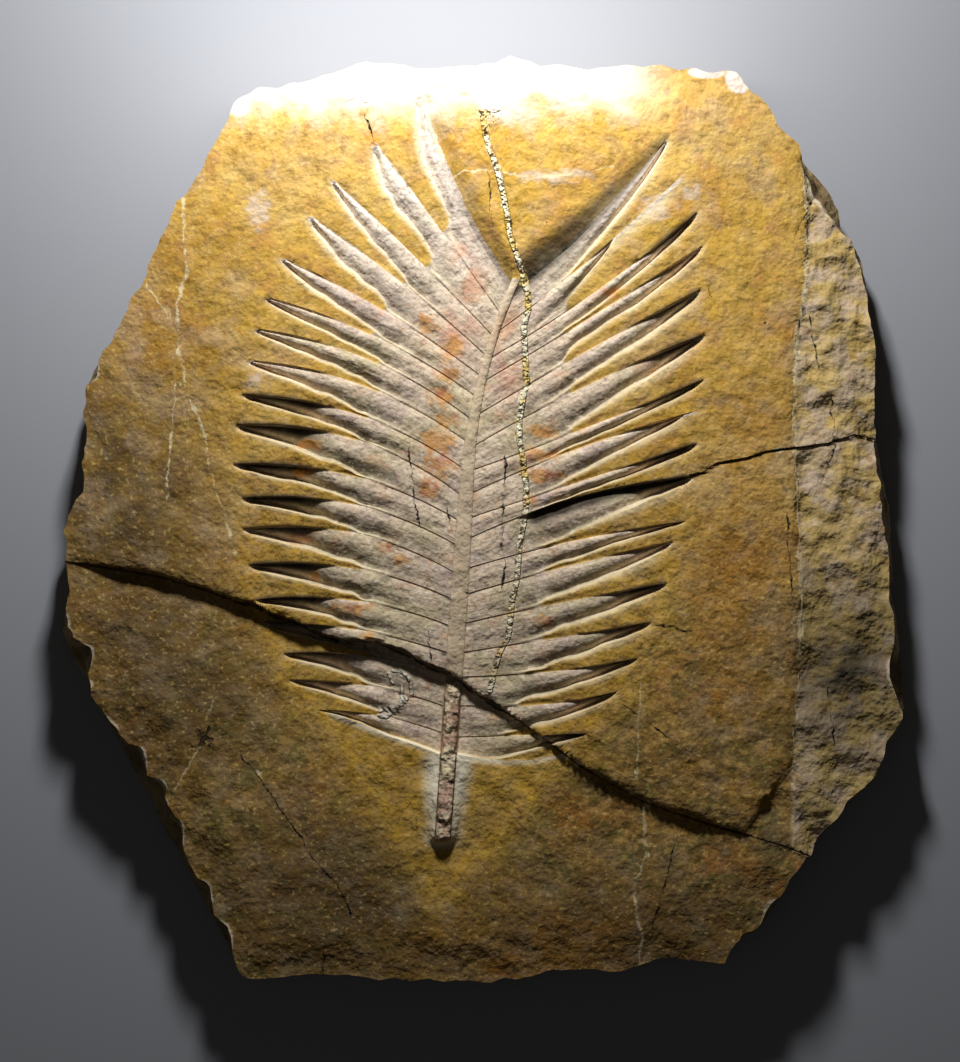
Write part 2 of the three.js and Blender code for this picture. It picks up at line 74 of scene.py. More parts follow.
# Upper edges of the leaflets from the tip down: y at the midrib, x and y of the point, bow,
# depth of the pocket at the point, share of the length laid bare. The last is the leaf's
# lower edge.
LEFT_EDGES = np.array([
    [107, -27, 191, -3.0, 0.5, 1], [92, -48, 168, 0.5, 0.5, 1], [82, -67, 151, 1.0, 0.5, 1],
    [73, -77, 135, 2.0, 0.6, 1], [64, -90, 116, 3.0, 0.6, 1], [55, -97, 98, 5.0, 0.8, 1],
    [45, -102, 84, 7.0, 1.0, 1], [35, -105, 70, 7.4, 1.2, 1], [23, -107, 55, 7.6, 4.4, 1],
    [11.5, -110, 41.5, 9.5, 4.4, 1], [0, -111, 24, 7.8, 5.6, 1], [-11, -107, 9, 7.8, 6.0, 1],
    [-23, -107, -4.5, 8.0, 4.0, 1], [-35, -104, -20.5, 6.2, 4.6, 1],
    [-47, -101, -36, 5.5, 4.6, 1], [-59, -98, -46, 3.5, 4.0, 1], [-71, -89, -60, 4.5, 4.0, 1],
    [-83, -87, -71.5, 3.0, 3.0, 1], [-95, -74, -85, 2.5, 2.2, 1],
    [LEAF_FOOT_Y, -68, -90, 1.0, 0, 1],
], float)
RIGHT_EDGES = np.array([
    [107, 82, 169, -2.2, 1.4, 1], [84, 88, 152, -1.9, 3.2, 0.6], [72, 95, 136, -2.8, 4.4, 1],
    [62, 98, 121.5, -0.8, 2.8, 1], [47, 97, 102, 1.0, 3.8, 1], [33, 99, 82, 2.6, 4.4, 1],
    [22, 98, 62, -1.0, 4.2, 1], [12, 96, 48, 2.5, 2.6, 0.93], [1, 95, 33.5, 0, 4.8, 1],
    [-8, 94, 19, 4.5, 5.2, 1], [-21.5, 90, -1, 2.0, 3.0, 1], [-33, 85, -9.5, 1.0, 2.6, 1],
    [-46, 82, -28.5, 1.0, 4.6, 1], [-59, 75, -45.5, 0, 4.0, 1], [-70, 69, -61.5, -1.5, 3.8, 1],
    [-83, 60, -76, -2.5, 3.6, 1], [-97, 46, -95, 0, 4.8, 1],
    [LEAF_FOOT_Y, 38, -102.5, -3.2, 0, 1],
], float)

# Furthest outline, anticlockwise from the top: x, y, and how far the face's rim lies inside.
OUTLINE = np.array([
    [13, 208, 4], [5, 204.5, 4], [-10, 204.3, 4], [-22, 202, 4], [-33, 204, 4],
    [-52, 205, 4], [-58, 203, 4], [-68, 199.5, 4], [-80, 197, 4], [-92, 194, 4],
    [-102, 193.5, 5], [-110, 190, 6], [-114, 184, 5], [-117, 174, 3], [-123, 162, 3],
    [-131, 149, 3], [-137, 142, 4], [-142, 130, 3], [-149, 114, 3], [-154, 103, 3],
    [-159, 95, 3], [-165, 84, 4], [-173, 72, 5], [-179, 59, 4], [-179.5, 45, 4],
    [-179, 30, 3], [-180.5, 12, 4], [-186, 0, 4], [-189, -6, 4], [-186.5, -16, 3],
    [-185.5, -34, 3], [-190.5, -50, 6], [-186, -62, 12], [-181, -70, 8], [-176, -80, 4],
    [-168, -94, 4], [-161.5, -106, 9], [-156, -116, 8], [-149, -128, 12], [-144, -140, 13],
    [-138, -149, 8], [-132, -161, 6], [-125, -175, 8], [-118, -187, 7], [-112, -200, 4],
    [-108, -207, 3], [-95, -206, 3], [-80, -204.5, 3], [-60, -205.5, 3], [-35, -208, 3],
    [-15, -208, 3], [2, -209, 3], [14, -208, 4], [22, -206, 4], [32, -203.5, 3],
    [50, -202.5, 3], [64, -203.5, 3], [72, -200, 3], [85, -198, 3], [97, -199.5, 3],
    [108, -200, 3], [113, -191, 5], [123, -187, 6], [130, -178, 6], [139, -163, 5],
    [147, -150, 4], [157, -139, 5], [169, -125, 5], [178, -117, 5], [183, -102, 6],
    [190.5, -90, 4], [189, -75, 9], [188, -58, 8], [187, -45, 5], [184, -34, 4],
    [185, -22, 5], [184, -8, 6], [184, 2, 8], [181.5, 14, 7], [178, 32, 4], [176, 52, 3],
    [176, 75, 3], [174, 95, 4], [172, 113, 4], [169, 120, 4], [161.5, 132, 5], [160, 140, 8],
    [155, 149, 8], [147, 158, 6], [140.5, 167, 3], [133, 175, 3], [126, 185, 3],
    [119, 194, 4], [114, 201, 6], [108, 202, 6], [103, 200.5, 4], [95, 203, 4],
    [88, 201.5, 4], [80, 204, 4], [65, 204, 4], [48, 202, 4], [38, 204.5, 4], [25, 203.5, 4],
], float)
OUTLINE_CENTRE = np.array([-3.0, 10.0])

# The crack from the left edge to the right, and the height of its step.
CRACK = np.array([
    [-187, -19], [-165, -22], [-145, -25.5], [-125, -31], [-110, -36.5], [-101, -38.5],
    [-95, -42], [-82, -46.5], [-77, -50], [-70, -52.5], [-60, -54.5], [-48, -55],
    [-40, -57.5], [-32, -61], [-25, -65], [-12, -70.5], [-3, -78], [8, -84.5], [22, -94],
    [30, -100], [42, -109], [60, -119.5], [72, -126], [92, -133], [114, -139.5],
    [122, -142], [132, -145], [147, -151], [260, -180],
], float)
CRACK_STEP = np.array([
    [-187, 0.7], [-178, 1.6], [-170, 3.0], [-160, 5.6], [-145, 5.6], [-130, 5.4], [-116, 4.6],
    [-100, 5.6], [-80, 7.0], [-60, 7.4], [-30, 5.8], [-10, 4.2], [20, 3.4], [50, 3.8],
    [70, 4.0], [95, 4.6], [115, 2.6], [147, 0.8],
], float)
CRACK_FADE = 60.0         # half of the step dies away over this distance

# Ledge where the smooth face gives way to the rough right-hand margin: x, y, from the crack up.
LEDGE = np.array([
    [114, -139.5], [120, -131], [128, -119], [137, -107], [137, -95], [139, -75],
    [140.5, -40], [139, 0], [138, 20], [137, 40], [137.5, 65], [139, 85], [142, 105],
    [143, 128], [142, 152], [139, 172],
], float)
LEDGE_X, LEDGE_STEP, MARGIN_SLOPE, LUMPS, LUMPS_BELOW = 138.0, 1.9, 0.07, 0.9, 0.4
LEAST_DROP = 1.3          # the margin is never less far below the face

# Second crack, from the right-hand leaflets to the ledge and over the margin.
SIDE_CRACK = np.array([
    [20, 4], [40, 7.5], [60, 12], [78, 16], [92, 19], [97, 20], [102, 24], [118, 27],
    [125, 29.5], [137, 31], [152, 33], [165, 37], [179, 34],
], float)
SIDE_CRACK_LEAVES = 92    # from this x on it runs over bare stone
SIDE_STEP, SIDE_FADE = 0.8, 8.0
TORN_LEAFLET = 9          # its upper edge on the right has opened along that crack
TORN_DEPTH = 3.0

# Hollows in the margin: x, y, half-width, half-height, depth.
HOLLOWS = [
    (142, 21.5, 4, 5.5, 1.8), (141.5, -48, 3.5, 4, 1.6), (153, -26, 12, 5, 1.0),
    (149.5, -66, 6.5, 8, 1.0), (161.5, 100, 6.5, 2, 1.0),
]

DIMPLE, DIMPLE_DEPTH = (86, -178, 4.5, 2.8), 1.4      # a small hollow in the smooth face

# Chips broken from the edge like shells: x, y of the middle on the outline, half-length.
CHIPS = np.array([
    [-190, -48, 7], [-182, -62.5, 9], [-169, -94, 6], [-157, -111, 8], [-147, -123, 8],
    [-137, -144, 8], [-126.5, -172.5, 8], [-117, -190, 10], [185, -75, 15], [157, 150, 18],
    [-176, 66, 6], [130, -178, 8], [172, 117, 7],
], float)

# Nodes of the stalk: y of the middle, half-length. Below the crack it is a raised strip.
STALK_NODES = [(-76.5, 4), (-88.4, 6.6), (-101.5, 2.9), (-113, 3.5)]
NODE_RISE, STRIP_RISE = 0.7, 0.5

# Raised crust like a worm's track, on the lowest left-hand leaflets.
CRUSTS = [
    [(-40, -74), (-42, -69), (-37, -67.5), (-32.6, -71.4), (-31.5, -78), (-36, -83), (-45.5, -85.5)],
    [(-46, -88), (-43, -88.5), (-38, -85), (-36, -80), (-36, -75)],
]


def eased(low, high, at):
    """0 below low, 1 above high, and an S-shaped rise between."""
    t = np.clip((at - low) / (high - low), 0, 1)
    return t * t * (3 - 2 * t)


def mixed(a, b, t):
    """a at t = 0, b at t = 1, straight between."""
    return a + (b - a) * t


def run_through(at, stops, values, rounded=()):
    """Goes through each value at its stop, straight between, or S-shaped for the spans
    whose numbers are in `rounded`. Stops and values may be arrays."""
    total = values[0]
    for i in range(len(stops) - 1):
        t = np.clip((at - stops[i]) / (stops[i + 1] - stops[i]), 0, 1)
        if i in rounded:
            t = t * t * (3 - 2 * t)
        total = total + (values[i + 1] - values[i]) * t
    return total


def grain(x, y, size, seed):
    """Smooth random field from -1 to 1 with lumps of that size: random values on a square
    lattice, eased from one to the next."""
    lattice = np.random.default_rng(seed).uniform(-1, 1, (512, 512))
    u, v = x / size + 200, y / size + 200
    i, j = np.floor(u).astype(int), np.floor(v).astype(int)
    s, t = eased(0, 1, u - i), eased(0, 1, v - j)
    i, j = i % 511, j % 511
    low = mixed(lattice[i, j], lattice[i + 1, j], s)
    high = mixed(lattice[i, j + 1], lattice[i + 1, j + 1], s)
    return mixed(low, high, t)


def off_line(points, x, y, upright=True):
    """Signed distance across a line that runs through the points, and the distance past
    its ends: x off it at each y for an upright line, y off it at each x for a level one."""
    points = np.array(points, float)
    along, across = (y, x) if upright else (x, y)
    a, b = (1, 0) if upright else (0, 1)
    points = points[np.argsort(points[:, a])]
    past = np.maximum(points[0, a] - along, 0) + np.maximum(along - points[-1, a], 0)
    return across - np.interp(along, points[:, a], points[:, b]), past


def from_crusts(x, y):
    """Shortest distance to the crusts, each a chain of straight pieces."""
    shortest = np.full(x.shape, 1e3)
    for points in CRUSTS:
        for (ax, ay), (bx, by) in zip(points[:-1], points[1:]):
            dx, dy = bx - ax, by - ay
            t = np.clip(((x - ax) * dx + (y - ay) * dy) / (dx * dx + dy * dy), 0, 1)
            shortest = np.minimum(shortest, np.hypot(x - ax - t * dx, y - ay - t * dy))
    return shortest


def patches(spots, x, y):
    """Soft round patches, 1 in the middle and 0 outside: x, y, half-width, half-height."""
    total = np.zeros(x.shape)
    for sx, sy, wide, high in spots:
        total = np.maximum(total, np.exp(-((x - sx) / wide) ** 2 - ((y - sy) / high) ** 2))
    return total


# ---- the midrib and the stalk

def rib_x(y):
    """Centre line of the midrib: straight low down, bending to the right towards the tip,
    and straight on above it."""
    low = np.minimum(y, APEX_Y)
    bend = 0.0021 * np.maximum(0, low - 20) ** 2
    return -8.2 + 0.0675 * low + bend - 0.12 * np.maximum(0, y - APEX_Y)


def rib_half_width(y):
    """Narrows from 4.1 below to 1.8 above, and to almost nothing past the apex."""
    return np.where(y > APEX_Y, 0.5, mixed(4.1, 1.8, eased(-40, 90, y)))


def stalk_height(x, y):
    """The stalk rises towards its cut end, with flanks that get steeper."""
    along = 1 - eased(STALK_END_Y + 4, LEAF_FOOT_Y + 6, y)
    flank = mixed(13, 8, along)
    level = 1 - eased(2.5, flank, np.abs(x - rib_x(y)))
    return STALK_RISE * along * level * eased(STALK_END_Y - 7, STALK_END_Y - 1, y)


def crown_height(x, y):
    """The midrib's crown: a low ridge on the leaf's floor that becomes the raised stalk."""
    sunk = eased(LEAF_FOOT_Y, LEAF_FOOT_Y + 36, y)
    crown = mixed(MIDRIB_FOOT, MIDRIB_RISE - LEAF_DEPTH, sunk) + stalk_height(x, y)
    return np.where(y >= APEX_Y, -SHOULDER, crown)


# ---- the print of the leaflets, as rays from the midrib with stations along them

WEDGE_END = (-3, 44)      # the far end of the wedge's centre ray, off its near end
STALK_FAN = 34.0          # how far the rays about the stalk's end reach below it
WEDGE_RAYS, LEAF_RAYS, STALK_RAYS = 26, 304, 40
RAYS = WEDGE_RAYS + LEAF_RAYS + STALK_RAYS
ALONG = 1 - (1 - np.linspace(0, 1, 70)) ** 1.15
SHARES_OF_RAYS = (0, 0.125, 0.5, 0.69, 1)
CUSHION, FINGER, VALLEY = 0.85, 0.6, 0.35      # heights over the plain print
RIGHT_FROM, NO_GAP = 40, 20.0          # right-hand leaflets count from here; gap where there is none
SHOULDER = 2.2            # how far the stone of the wedge rounds off towards its edges


def half_print(edges, side, torn, finger_from, blunt_ends, highlight_share, pocket_from):
    """One half of the print as arrays of rays by stations: x, y, height over the face, and
    for the finish the bare stone between the leaflets, its upper side that faces the lamp
    with a painted highlight, painted shade in the deep pockets and along the wedge's edges,
    the leaflet's number with the share across it, and the distance between its edges. The
    fingers of stone between the leaflets run to a point, but for those with blunt ends."""
    root_y, bow, pocket, reach = edges[:, 0], edges[:, 3], edges[:, 4], edges[:, 5]
    count = len(edges) - 1
    root = np.stack([rib_x(root_y) + side * rib_half_width(root_y), root_y], 1)
    tip = edges[:, 1:3]
    chord = (tip - root) / np.linalg.norm(tip - root, axis=1)[:, None]
    up = np.stack([-chord[:, 1], chord[:, 0]], 1) * np.sign(chord[:, :1])
    middle = (root + tip) / 2 + 2 * bow[:, None] * up
    q = ALONG[None, :, None]
    curve = (1 - q) ** 2 * root[:, None] + 2 * q * (1 - q) * middle[:, None] + q ** 2 * tip[:, None]
    bowed = curve - mixed(root[:, None], tip[:, None], q)
    q = ALONG[None, :]

    # Rays over the bare wedge above the midrib.
    above = 1 - (1 - np.arange(WEDGE_RAYS)[:, None] / WEDGE_RAYS) ** 1.5
    top = np.array([rib_x(np.array(WEDGE_TOP_Y)), WEDGE_TOP_Y])
    start = mixed(top, root[0], above[..., None])
    end = mixed(top + WEDGE_END, tip[0], above[..., None])
    wedge = mixed(start, end, q[..., None]) + above[..., None] * bowed[0]
    shoulder = -SHOULDER * (1 - 0.6 * q) * (1 - eased(0.88, 1, q))
    to_edge = np.hypot(wedge[..., 0] - curve[0, :, 0], wedge[..., 1] - curve[0, :, 1])
    rounded_off = shoulder * np.exp(-(to_edge / 5) ** 2)
    # Painted shade on the wedge's stone beside its edges, stronger on the right-hand side.
    edge_shade = 1 - 0.35 * q if side > 0 else 0.55 * (1 - 0.8 * q)
    shaded = edge_shade * (1 - eased(0.2, 1, to_edge / mixed(12, 4.5, q)))

    # Rays over the leaflets: how far across its leaflet each one runs, at each station.
    ray = np.arange(LEAF_RAYS + 1)
    starts = np.round(LEAF_RAYS * np.arange(count + 1) / count).astype(int)
    k = np.clip(np.searchsorted(starts, ray, "right") - 1, 0, count - 1)
    share = ((ray - starts[k]) / (starts[k + 1] - starts[k]))[:, None]
    bare = np.clip(q / reach[k][:, None], 0, 1)
    floor = np.maximum(0.03, 0.9 * np.minimum(1, (1 - bare) / (1 - finger_from)) ** 0.8)
    rng = np.random.default_rng(31 + side)
    fingers_from = (finger_from + rng.uniform(-0.06, 0.06, count + 1))[:, None]
    blunt = rng.uniform(0, 0.1, count + 1)
    for number, share_lost in blunt_ends.items():
        blunt[number] = share_lost
    blunt = blunt[:, None]
    finger = eased(fingers_from, fingers_from + 0.04, q)
    finger[[0, -1]] = 0
    floor = floor * (1 - blunt[k + 1] * finger[k + 1] * (1 - eased(0.5, 0.85, q)))
    uneven = 0.08 * grain(16 * q + 0 * share, 9.7 * k[:, None] + side + 0 * q, 1.0, 21)
    floor = floor * (1 + uneven * eased(0.25, 0.5, q))
    finger = finger * (1 - 0.8 * eased(0.6, 0.95, q))
    lip = np.minimum(np.where(k == 0, 0.3, 0.06)[:, None], floor / 3)
    wall_top = np.minimum(0.97, floor + mixed(0.07, 0.12, q))
    across = run_through(share, SHARES_OF_RAYS, [0, lip, floor, wall_top, 1])
    across = mixed(across, share, eased(0.93, 1, q))

    rising = FINGER * np.clip(pocket / 2.5, 0.4, 1)[:, None]

    # The plain print: from the crest down to the floor, over it, and up the lower wall.
    crest_low = (SHINGLE - LEAF_DEPTH) * (1 - eased(0.36, 0.84, q))
    upper = np.where((k == 0)[:, None], shoulder, crest_low + 0.5 * rising[k] * finger[k])
    lower = np.where((k == count - 1)[:, None], 0, crest_low + 0.5 * rising[k + 1] * finger[k + 1])
    opening, closing = eased(0.22, 0.5, bare), eased(0.94, 1, bare)
    torn_here = TORN_DEPTH * (k == torn)[:, None] * eased(0.2, 0.3, q) * (1 - eased(0.9, 1, q))
    sunk = mixed(LEAF_DEPTH, SHALLOW, eased(0.25, 0.62, bare))
    sunk = mixed(sunk, pocket[k][:, None], eased(pocket_from, pocket_from + 0.25, bare))
    top_level = mixed(-LEAF_DEPTH - SHINGLE, -sunk, opening) - torn_here
    foot_level = mixed(-LEAF_DEPTH + SHINGLE, -sunk - FLOOR_SLOPE, opening)
    middle_level = (top_level + foot_level) / 2 + FLOOR_HUMP * opening + 0.15 * torn_here
    height = run_through(
        across, [0, lip, (lip + floor) / 2, floor, wall_top, 1],
        [upper, mixed(top_level, upper, closing), mixed(middle_level, lower, closing),
         mixed(foot_level, lower, closing), lower, lower], rounded=(0, 3))

    # On it: each leaflet a cushion with a valley at its foot, and the stone between two
    # leaflets a rounded finger.
    over_floor = np.clip((across - lip) / (floor - lip), 0, 1)
    cushion = CUSHION * mixed(0.55, 1, opening) * np.sin(math.pi * over_floor ** 0.6)
    valley = VALLEY * np.exp(-((over_floor - 0.9) / 0.12) ** 2)
    foot = mixed(floor, wall_top, 0.4)
    over_finger = np.clip((across - foot) / (1 - foot), 0, 1)
    # Painted shade: dark paint in the deep pockets towards the tips, where the torn leaflet has opened,
    # and on the first leaflet beside the wedge's edge.
    deep = np.clip((pocket[k][:, None] - 2.2) / 2.4, 0, 1) * eased(pocket_from, pocket_from + 0.2, bare)
    deep = deep * (1 - eased(0.3, 0.9, over_floor)) * (1 - eased(0.98, 1, bare))
    opened = (k == torn)[:, None] * eased(0.22, 0.3, q) * (1 - eased(0.25, 0.6, over_floor))
    deep = np.maximum(deep, opened * (1 - eased(0.9, 1, q)))
    deep = np.where((k == 0)[:, None], edge_shade * (1 - eased(lip, 2 * lip, across)), deep)
    ridge = rising[k + 1] * finger[k + 1] * np.sin(math.pi * over_finger ** 0.8)
    height = height + (cushion - valley) * (1 - closing) * eased(0, 0.06, q) + ridge

    near, far = curve[k], curve[k + 1]
    leaf = mixed(near, far, across[..., None])
    gap = np.linalg.norm(far - near, axis=2)
    on_finger = np.maximum(finger[k + 1], eased(0.6, 0.75, q))
    on_finger = np.where((k == count - 1)[:, None], eased(0.1, 0.3, q), on_finger)
    spike = eased(mixed(floor, wall_top, 0.3), wall_top, across) * on_finger
    above_it = np.where((k == 0)[:, None], 1, np.maximum(finger[k], eased(0.6, 0.75, q)))
    spike = np.maximum(spike, (1 - eased(0, lip, across)) * above_it)
    spike = np.maximum(spike, eased(0.97, 1, q))
    # Painted highlight: cream paint on each leaflet's lower wall, which faces the lamp, and a share of
    # the way onto the stone above it.
    highlight_to = mixed(wall_top, 1, highlight_share)
    wall = eased(floor - 0.04, mixed(floor, wall_top, 0.5), across)
    wall = wall * (1 - eased(wall_top, highlight_to, across))
    wall = wall * eased(0.2, 0.4, q) * (1 - 0.7 * eased(0.85, 1, q))

    # Rays beside the stalk, then fanning about its rounded end.
    below = (np.arange(1, STALK_RAYS + 1) / STALK_RAYS)[:, None]
    y = mixed(LEAF_FOOT_Y, STALK_END_Y, np.minimum(1, below / 0.7))
    turn = eased(0.7, 1, below) * math.pi / 2
    width = rib_half_width(y)
    start = np.stack([rib_x(y) + side * width * np.cos(turn), y - width * np.sin(turn)], 2)
    foot = np.array([rib_x(np.array(STALK_END_Y)), STALK_END_Y - STALK_FAN])
    end = mixed(tip[-1], foot, below)[:, None]
    stalk = mixed(start, end, q[..., None]) + (1 - below)[..., None] * bowed[-1]

    place = np.concatenate([wedge, leaf, stalk])
    raised = stalk_height(place[..., 0], place[..., 1])
    raised[:WEDGE_RAYS] += rounded_off
    raised[WEDGE_RAYS:WEDGE_RAYS + LEAF_RAYS + 1] = height
    on_leaf = mixed(root_y[k], root_y[k + 1], share[:, 0])[:, None]

    def in_all(*three):
        """One column of the wedge's, the leaflets' and the stalk's rays together."""
        shapes = [part.shape[:2] for part in (wedge, leaf, stalk)]
        return np.concatenate([np.broadcast_to(v, shape) for v, shape in zip(three, shapes)])

    return {
        "centre_y": np.concatenate([mixed(WEDGE_TOP_Y, APEX_Y, above), on_leaf, y]),
        "x": place[..., 0], "y": place[..., 1], "height": raised,
        "stone": in_all(1, spike, 1), "wall": in_all(0, wall, 0), "deep": in_all(shaded, deep, 0),
        "gap": in_all(NO_GAP, gap, NO_GAP), "along": in_all(q, q, q),
        "number": in_all(mixed(-0.4, 0, above), k[:, None] + across, count + 0.4 * below)
        + (RIGHT_FROM if side > 0 else 0),
    }


# ---- the levels of the face

def slipped(x, y, ramp):
    """How far the stone lies lower beyond the crack: the full step at the crack, half of
    it far away. The step is a ramp of that half-width."""
    below = np.interp(x, CRACK[:, 0], CRACK[:, 1]) - y
    step = np.interp(x, CRACK_STEP[:, 0], CRACK_STEP[:, 1])
    fade = (1 + np.exp(-np.maximum(0, below) / CRACK_FADE)) / 2
    return step * fade * eased(-ramp, ramp, below)


def in_margin(x, y, ramp):
    """1 right of the ledge and above the crack, 0 elsewhere, with a ramp between."""
    beyond = x - np.interp(y, LEDGE[:, 1], LEDGE[:, 0])
    above = y - np.interp(x, CRACK[:, 0], CRACK[:, 1])
    return eased(-ramp, ramp, np.minimum(beyond, above))


def margin_drop(x, y):
    """The rough margin lies below the smooth face, falls towards the edge and is lumpy."""
    coarse = np.sin(x / 6 + y / 19) * np.sin(y / 8.5 - x / 15)
    fine = np.sin(y / 5 + x / 9) / 2
    slope = MARGIN_SLOPE * np.maximum(0, x - LEDGE_X)
    return LEDGE_STEP + slope + LUMPS * (coarse + fine + LUMPS_BELOW)


def level(x, y, height, smooth, drop, rough):
    """Height above the back: a gentle swell of the face, what stands on it or is sunk in
    it, the slip below the crack, the rough margin, and the stone's own unevenness, which
    is less where the leaf left it smooth."""
    swell = 0.7 * np.sin(x / 47 + 0.8) * np.cos(y / 61) + 0.45 * np.sin((x + y) / 33 + 2)
    uneven = 0.3 * grain(x, y, 22, 1) + 0.3 * grain(x, y + x / 2, 9, 2) + 0.12 * grain(x, y, 4, 3)
    uneven = uneven * (1 - 0.65 * smooth) * (1 + eased(40, -110, y))
    uneven = uneven - DIMPLE_DEPTH * patches([DIMPLE], x, y)
    crags = 1.7 * np.abs(grain(x + y / 2, y, 16, 4)) + 1.1 * np.abs(grain(x, y - x / 2, 8, 5))
    crags = 1.3 - crags + 0.35 * grain(x, y, 3.4, 6)
    hollows = sum(d * patches([(a, b, w, h)], x, y) for a, b, w, h, d in HOLLOWS)
    side_crack, _ = off_line(SIDE_CRACK, x, y, upright=False)
    below = (side_crack < 0) & (x > SIDE_CRACK_LEAVES) & (x < SIDE_CRACK[-1, 0])
    lip = np.where(below, SIDE_STEP * np.exp(np.minimum(side_crack, 0) / SIDE_FADE), 0)
    crust = from_crusts(x, y)
    off_rib = np.abs(x - rib_x(y))
    beside = np.clip(1 - (off_rib / 4.2) ** 2, 0, 1)
    nodes = sum(np.sqrt(np.clip(1 - ((y - c) / h) ** 2, 0, 1)) for c, h in STALK_NODES)
    strip = (1 - eased(2.9, 3.9, off_rib)) * eased(-145, -142, y) * (1 - eased(-78, -70, y))
    strip = strip * (1 + 0.5 * grain(x, y, 2.6, 8))
    return (THICKNESS + swell + height - drop + uneven - lip
            - rough * np.maximum(margin_drop(x, y) - crags + hollows, LEAST_DROP)
            + 0.7 * (1 - eased(0.3, 1.4, crust)) + NODE_RISE * nodes * beside
            + STRIP_RISE * strip)


DRAWN_FROM = 2.0          # points this near to a crack or ledge are drawn to it
DRAWN_OUTSIDE = 4.5       # the same outside the leaf, where the points lie further apart


def drawn_to(line, x, y, reach):
    """Moves points near a level line towards it, so that a step in the face along it is
    steep: a point s off the line goes to s * |s| / reach off it."""
    off = y - np.interp(x, line[:, 0], line[:, 1])
    return np.where(np.abs(off) < reach, y - off + off * np.abs(off) / reach, y)


# ---- the whole plate, as loops from the midrib over the face, the rim and the side

CROWN_STATIONS = np.array([0, 0.3, 0.55, 0.75, 0.9])
MARGIN_STATIONS = np.linspace(0, 1, 37)[1:] ** 0.9
FIRST = len(CROWN_STATIONS)            # the first loop of the print, and the first beyond it
BEYOND = FIRST + len(ALONG)
SPREAD_OUT = 6            # loops over which the points come to lie further apart
SIDE_STATIONS = np.linspace(0, 1, 8)[1:]
BACK_STATIONS = np.linspace(0, 1, 4)[1:]
EDGE_FALL, EDGE_WIDTH = 2.2, 22.0      # the face rounds off by this, over this distance
WIDEST_AT, BACK_INSET = 0.42, 4.0
SLIT_X, SLIT_HALF = -4.0, 120.0        # the back closes on a straight line
MEAN_RADIUS = 190.0
LEAF_GLOW, RIM_WIDTH = 9.0, 1.6        # how far the yellow round the leaf and the painted highlight on a chip's rim reach

turns = np.arctan2(OUTLINE[:, 1] - OUTLINE_CENTRE[1], OUTLINE[:, 0] - OUTLINE_CENTRE[0])
order = np.argsort(turns)
turns, ring = turns[order], OUTLINE[order]
turns = np.concatenate([turns[-1:] - 2 * math.pi, turns, turns[:1] + 2 * math.pi])
ring = np.concatenate([ring[-1:], ring, ring[:1]])


def toward_outline(x, y):
    """Point of the furthest outline in the direction of x, y, the rim's inset there, and
    the direction itself."""
    turn = np.arctan2(y - OUTLINE_CENTRE[1], x - OUTLINE_CENTRE[0])
    return [np.interp(turn, turns, ring[:, c]) for c in range(3)] + [turn]


def moved_in(x, y, inset):
    """Moved towards the outline's centre by that much."""
    out_x, out_y = x - OUTLINE_CENTRE[0], y - OUTLINE_CENTRE[1]
    share = 1 - inset / np.hypot(out_x, out_y)
    return out_x * share + OUTLINE_CENTRE[0], out_y * share + OUTLINE_CENTRE[1]


